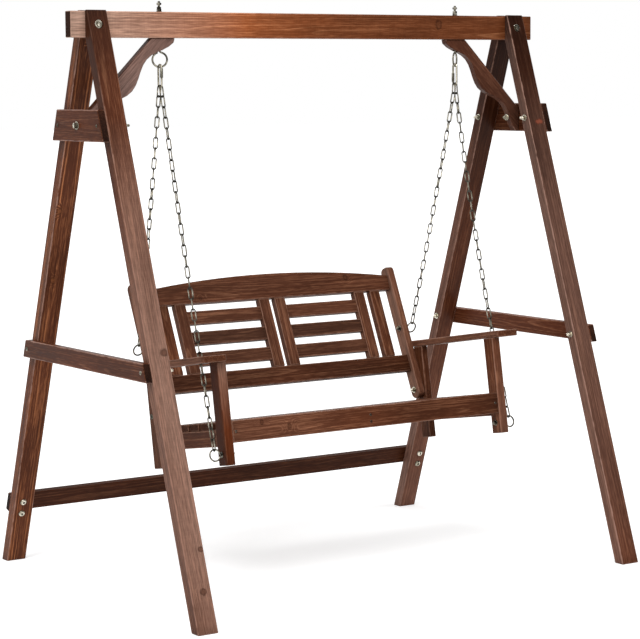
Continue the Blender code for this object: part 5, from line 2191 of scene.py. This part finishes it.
    def screw_places(self) -> Iterable[tuple[Vector, Vector]]:
        """Finds the screws of the bench.

        Yields:
            Where each one stands, and the way that its head faces.
        """
        turn = BENCH_FRAME.to_3x3()
        up, ahead = turn @ Vector(UP), turn @ Vector(AHEAD)
        pitch = self.seat_slat_width + self.seat_slat_gap
        for k in range(self.seat_slats):
            v = self.seat_slat_start + k * pitch + self.seat_slat_width / 2
            for x in self.slat_screws if k else self.first_slat_screws:
                for step in (-self.slat_screw_reach, self.slat_screw_reach):
                    yield BENCH_FRAME @ Vector((x, v + step, self.seat_top)), up
        for x, w in self.rail_screws:
            yield BENCH_FRAME @ Vector((x, 0.0, w)), ahead
        for side in Side:
            for s in self.stile_screws:
                spot = Vector((side.value * self.stile_outer_x, self.stile_depth / 2, s))
                yield BACK_FRAME @ spot, Vector((side.value, 0, 0))
            for v in self.arm_screws:
                x = side.value * (self.half_width - self.post_width / 2)
                yield BENCH_FRAME @ Vector((x, v, self.arm_top)), up

    def add_screws(self) -> None:
        """The screws that hold the bench together."""
        screw = Screw()
        draw = random.Random("bench screws")
        shape = metal_shape()
        for spot, outward in self.screw_places():
            screw.add(shape, spot, outward, draw.uniform(0, QUARTER_TURN))
        finish_metal(add_piece("bench_screws", shape, SWING_BODY), SCREW_STEEL)


# Studio

WHITE = (1.0, 1.0, 1.0)


def seen_rays(w: Wiring) -> Socket:
    """Tells the rays that look from those that light.

    Args:
        w: The wiring that needs it.

    Returns:
        One for rays from the camera, from a reflection or through glass, and zero otherwise.
    """
    rays = w.put("LightPath")
    seen = w.plus(rays.outputs["Is Camera Ray"], rays.outputs["Is Glossy Ray"])
    return w.plus(seen, rays.outputs["Is Transmission Ray"], clamp=True)


def flat_sheet(name: str, reach: float) -> Object:
    """A level square sheet around the origin.

    Args:
        name: Its name.
        reach: Half of its side.

    Returns:
        The sheet, which has no material yet.
    """
    shape = bmesh.new()
    bmesh.ops.create_grid(shape, x_segments=1, y_segments=1, size=reach)
    mesh = bpy.data.meshes.new(name)
    shape.to_mesh(mesh)
    shape.free()
    sheet = bpy.data.objects.new(name, mesh)
    bpy.context.scene.collection.objects.link(sheet)
    return sheet


@dataclass(frozen=True)
class Lamp:
    """A soft, far lamp.

    Attributes:
        name: Its name.
        toward: The direction from the swing to the lamp.
        strength: Its strength in watts per square metre.
        spread: The angle that it fills in the sky, in degrees.
    """

    name: str
    toward: Point
    strength: float
    spread: float

    def add(self) -> None:
        """Hangs the lamp."""
        data = bpy.data.lights.new(self.name, "SUN")
        data.energy = self.strength
        data.angle = math.radians(self.spread)
        lamp = bpy.data.objects.new(self.name, data)
        lamp.matrix_world = placed((0, 0, 4), self.toward)
        bpy.context.scene.collection.objects.link(lamp)


@dataclass(frozen=True)
class Card:
    """A tall dark card beside the swing, which only its gloss and its metal reflect.

    Attributes:
        name: The card's name.
        toward: The direction from the swing to the card.
        half_width: Half of the card's width.
        half_height: Half of its height.
        distance: How far it stands from the swing.
        height: The height of its middle.
        colour: Its colour, which is linear.
        roughness: How matt it is.
    """

    name: str
    toward: tuple[float, float]
    half_width: float
    half_height: float = 3.2
    distance: float = 5.0
    height: float = 3.0
    colour: Colour = (0.02, 0.02, 0.018)
    roughness: float = 0.9

    def add(self) -> None:
        """Stands the card up."""
        card = flat_sheet(self.name, 1.0)
        direction = Vector((*self.toward, 0)).normalized()
        middle = Matrix.Translation(direction * self.distance + Vector((0, 0, self.height)))
        size = Matrix.Diagonal((self.half_width, self.half_height, 1.0, 1.0))
        card.matrix_world = middle @ aim(-direction, (-direction.y, direction.x, 0)) @ size
        card.visible_camera = False
        card.visible_diffuse = False
        card.visible_shadow = False
        card.visible_transmission = False
        made, w, surface = new_material("dark_card")
        w.feed(surface.inputs["Base Color"], self.colour)
        w.feed(surface.inputs["Roughness"], self.roughness)
        dress(card, made)


@dataclass
class Studio:
    """The camera, the pale ground, the lamps and the world around the swing.

    Attributes:
        viewpoint: Where the camera stands.
        heading: The way that it looks, in degrees from +Y towards +X.
        tilt: How far it looks up, in degrees.
        roll: How far it leans, in degrees.
        lens: Its focal length in millimetres.
        sensor: Its width in millimetres.
        far_end: How far it sees.
        ground_reach: Half of the ground's side.
        ground_colour: The ground's colour, which is linear.
        ground_lift: How much the ground is brighter to look at than the lamps make it.
        world_level: How strongly the world lights the swing.
        lamps: The lamps.
        cards: The dark cards.
    """

    viewpoint: Point = (-3.9075, -5.8369, 1.5366)
    heading: float = 33.91
    tilt: float = -6.1325
    roll: float = -0.424
    lens: float = 124.74
    sensor: float = 36.0
    far_end: float = 200.0
    ground_reach: float = 60.0
    ground_colour: Colour = (0.82, 0.82, 0.82)
    ground_lift: float = 0.48
    world_level: float = 0.62
    lamps: tuple[Lamp, ...] = (
        Lamp("key_sun", (-0.62, -0.50, 0.95), 1.75, 26.0),
        Lamp("fill_sun", (0.75, -0.70, 0.55), 0.55, 40.0),
    )
    cards: tuple[Card, ...] = (
        Card("right_flag", (0.83, -0.56), 3.4),
        Card("left_flag", (-0.88, 0.42), 2.4),
    )

    def build(self) -> None:
        """Makes everything around the swing."""
        self.add_camera()
        self.add_ground()
        for thing in (*self.lamps, *self.cards):
            thing.add()
        self.set_world()

    def add_camera(self) -> None:
        """The camera at the photograph's place."""
        yaw, pitch, roll = (math.radians(angle) for angle in (self.heading, self.tilt, self.roll))
        level = math.cos(pitch)
        forward = Vector((math.sin(yaw) * level, math.cos(yaw) * level, math.sin(pitch)))
        side = Vector((math.cos(yaw), -math.sin(yaw), 0))
        top = side.cross(forward)
        right = side * math.cos(roll) + top * math.sin(roll)
        up = top * math.cos(roll) - side * math.sin(roll)
        data = bpy.data.cameras.new("photo_camera")
        data.sensor_width = self.sensor
        data.sensor_fit = "HORIZONTAL"
        data.lens = self.lens
        data.clip_end = self.far_end
        camera = bpy.data.objects.new("photo_camera", data)
        turn = Matrix((right, up, -forward)).transposed().to_4x4()
        camera.matrix_world = Matrix.Translation(self.viewpoint) @ turn
        bpy.context.scene.collection.objects.link(camera)
        bpy.context.scene.camera = camera

    def add_ground(self) -> None:
        """The pale ground, which takes the swing's shadow and fades into the white world."""
        ground = flat_sheet("studio_ground", self.ground_reach)
        made, w, _ = new_material("pale_ground")
        w.tree.nodes.clear()
        lift = w.times(seen_rays(w), self.ground_lift)
        matt = w.put("BsdfDiffuse", {"Color": self.ground_colour})
        glow = w.put("Emission", {"Color": WHITE, "Strength": lift})
        both = w.put("AddShader", {0: matt.outputs[0], 1: glow.outputs[0]})
        w.put("OutputMaterial", {"Surface": both.outputs[0]})
        dress(ground, made)

    def set_world(self) -> None:
        """A world that is white to look at, and lights the swing from all around at a lower level."""
        world = bpy.data.worlds.new("white_studio")
        world.use_nodes = True
        w = Wiring(world.node_tree)
        w.tree.nodes.clear()
        light = w.put("Background", {"Color": WHITE, "Strength": self.world_level})
        view = w.put("Background", {"Color": WHITE, "Strength": 1.0})
        both = w.put("MixShader", {"Fac": seen_rays(w), 1: light.outputs[0], 2: view.outputs[0]})
        w.put("OutputWorld", {"Surface": both.outputs[0]})
        bpy.context.scene.world = world


def clear_scene() -> None:
    """Removes what Blender starts with."""
    for leftover in list(bpy.data.objects):
        bpy.data.objects.remove(leftover)


def main() -> None:
    """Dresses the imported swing."""
    logging.basicConfig(level=logging.INFO, format="%(message)s")
    clear_scene()
    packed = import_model()
    bpy.context.scene.view_settings.view_transform = "Standard"
    Studio().build()
    GardenFrame(packed["nodes"]).build()
    Bench(packed["nodes"]).build()


if __name__ == "__main__":
    main()
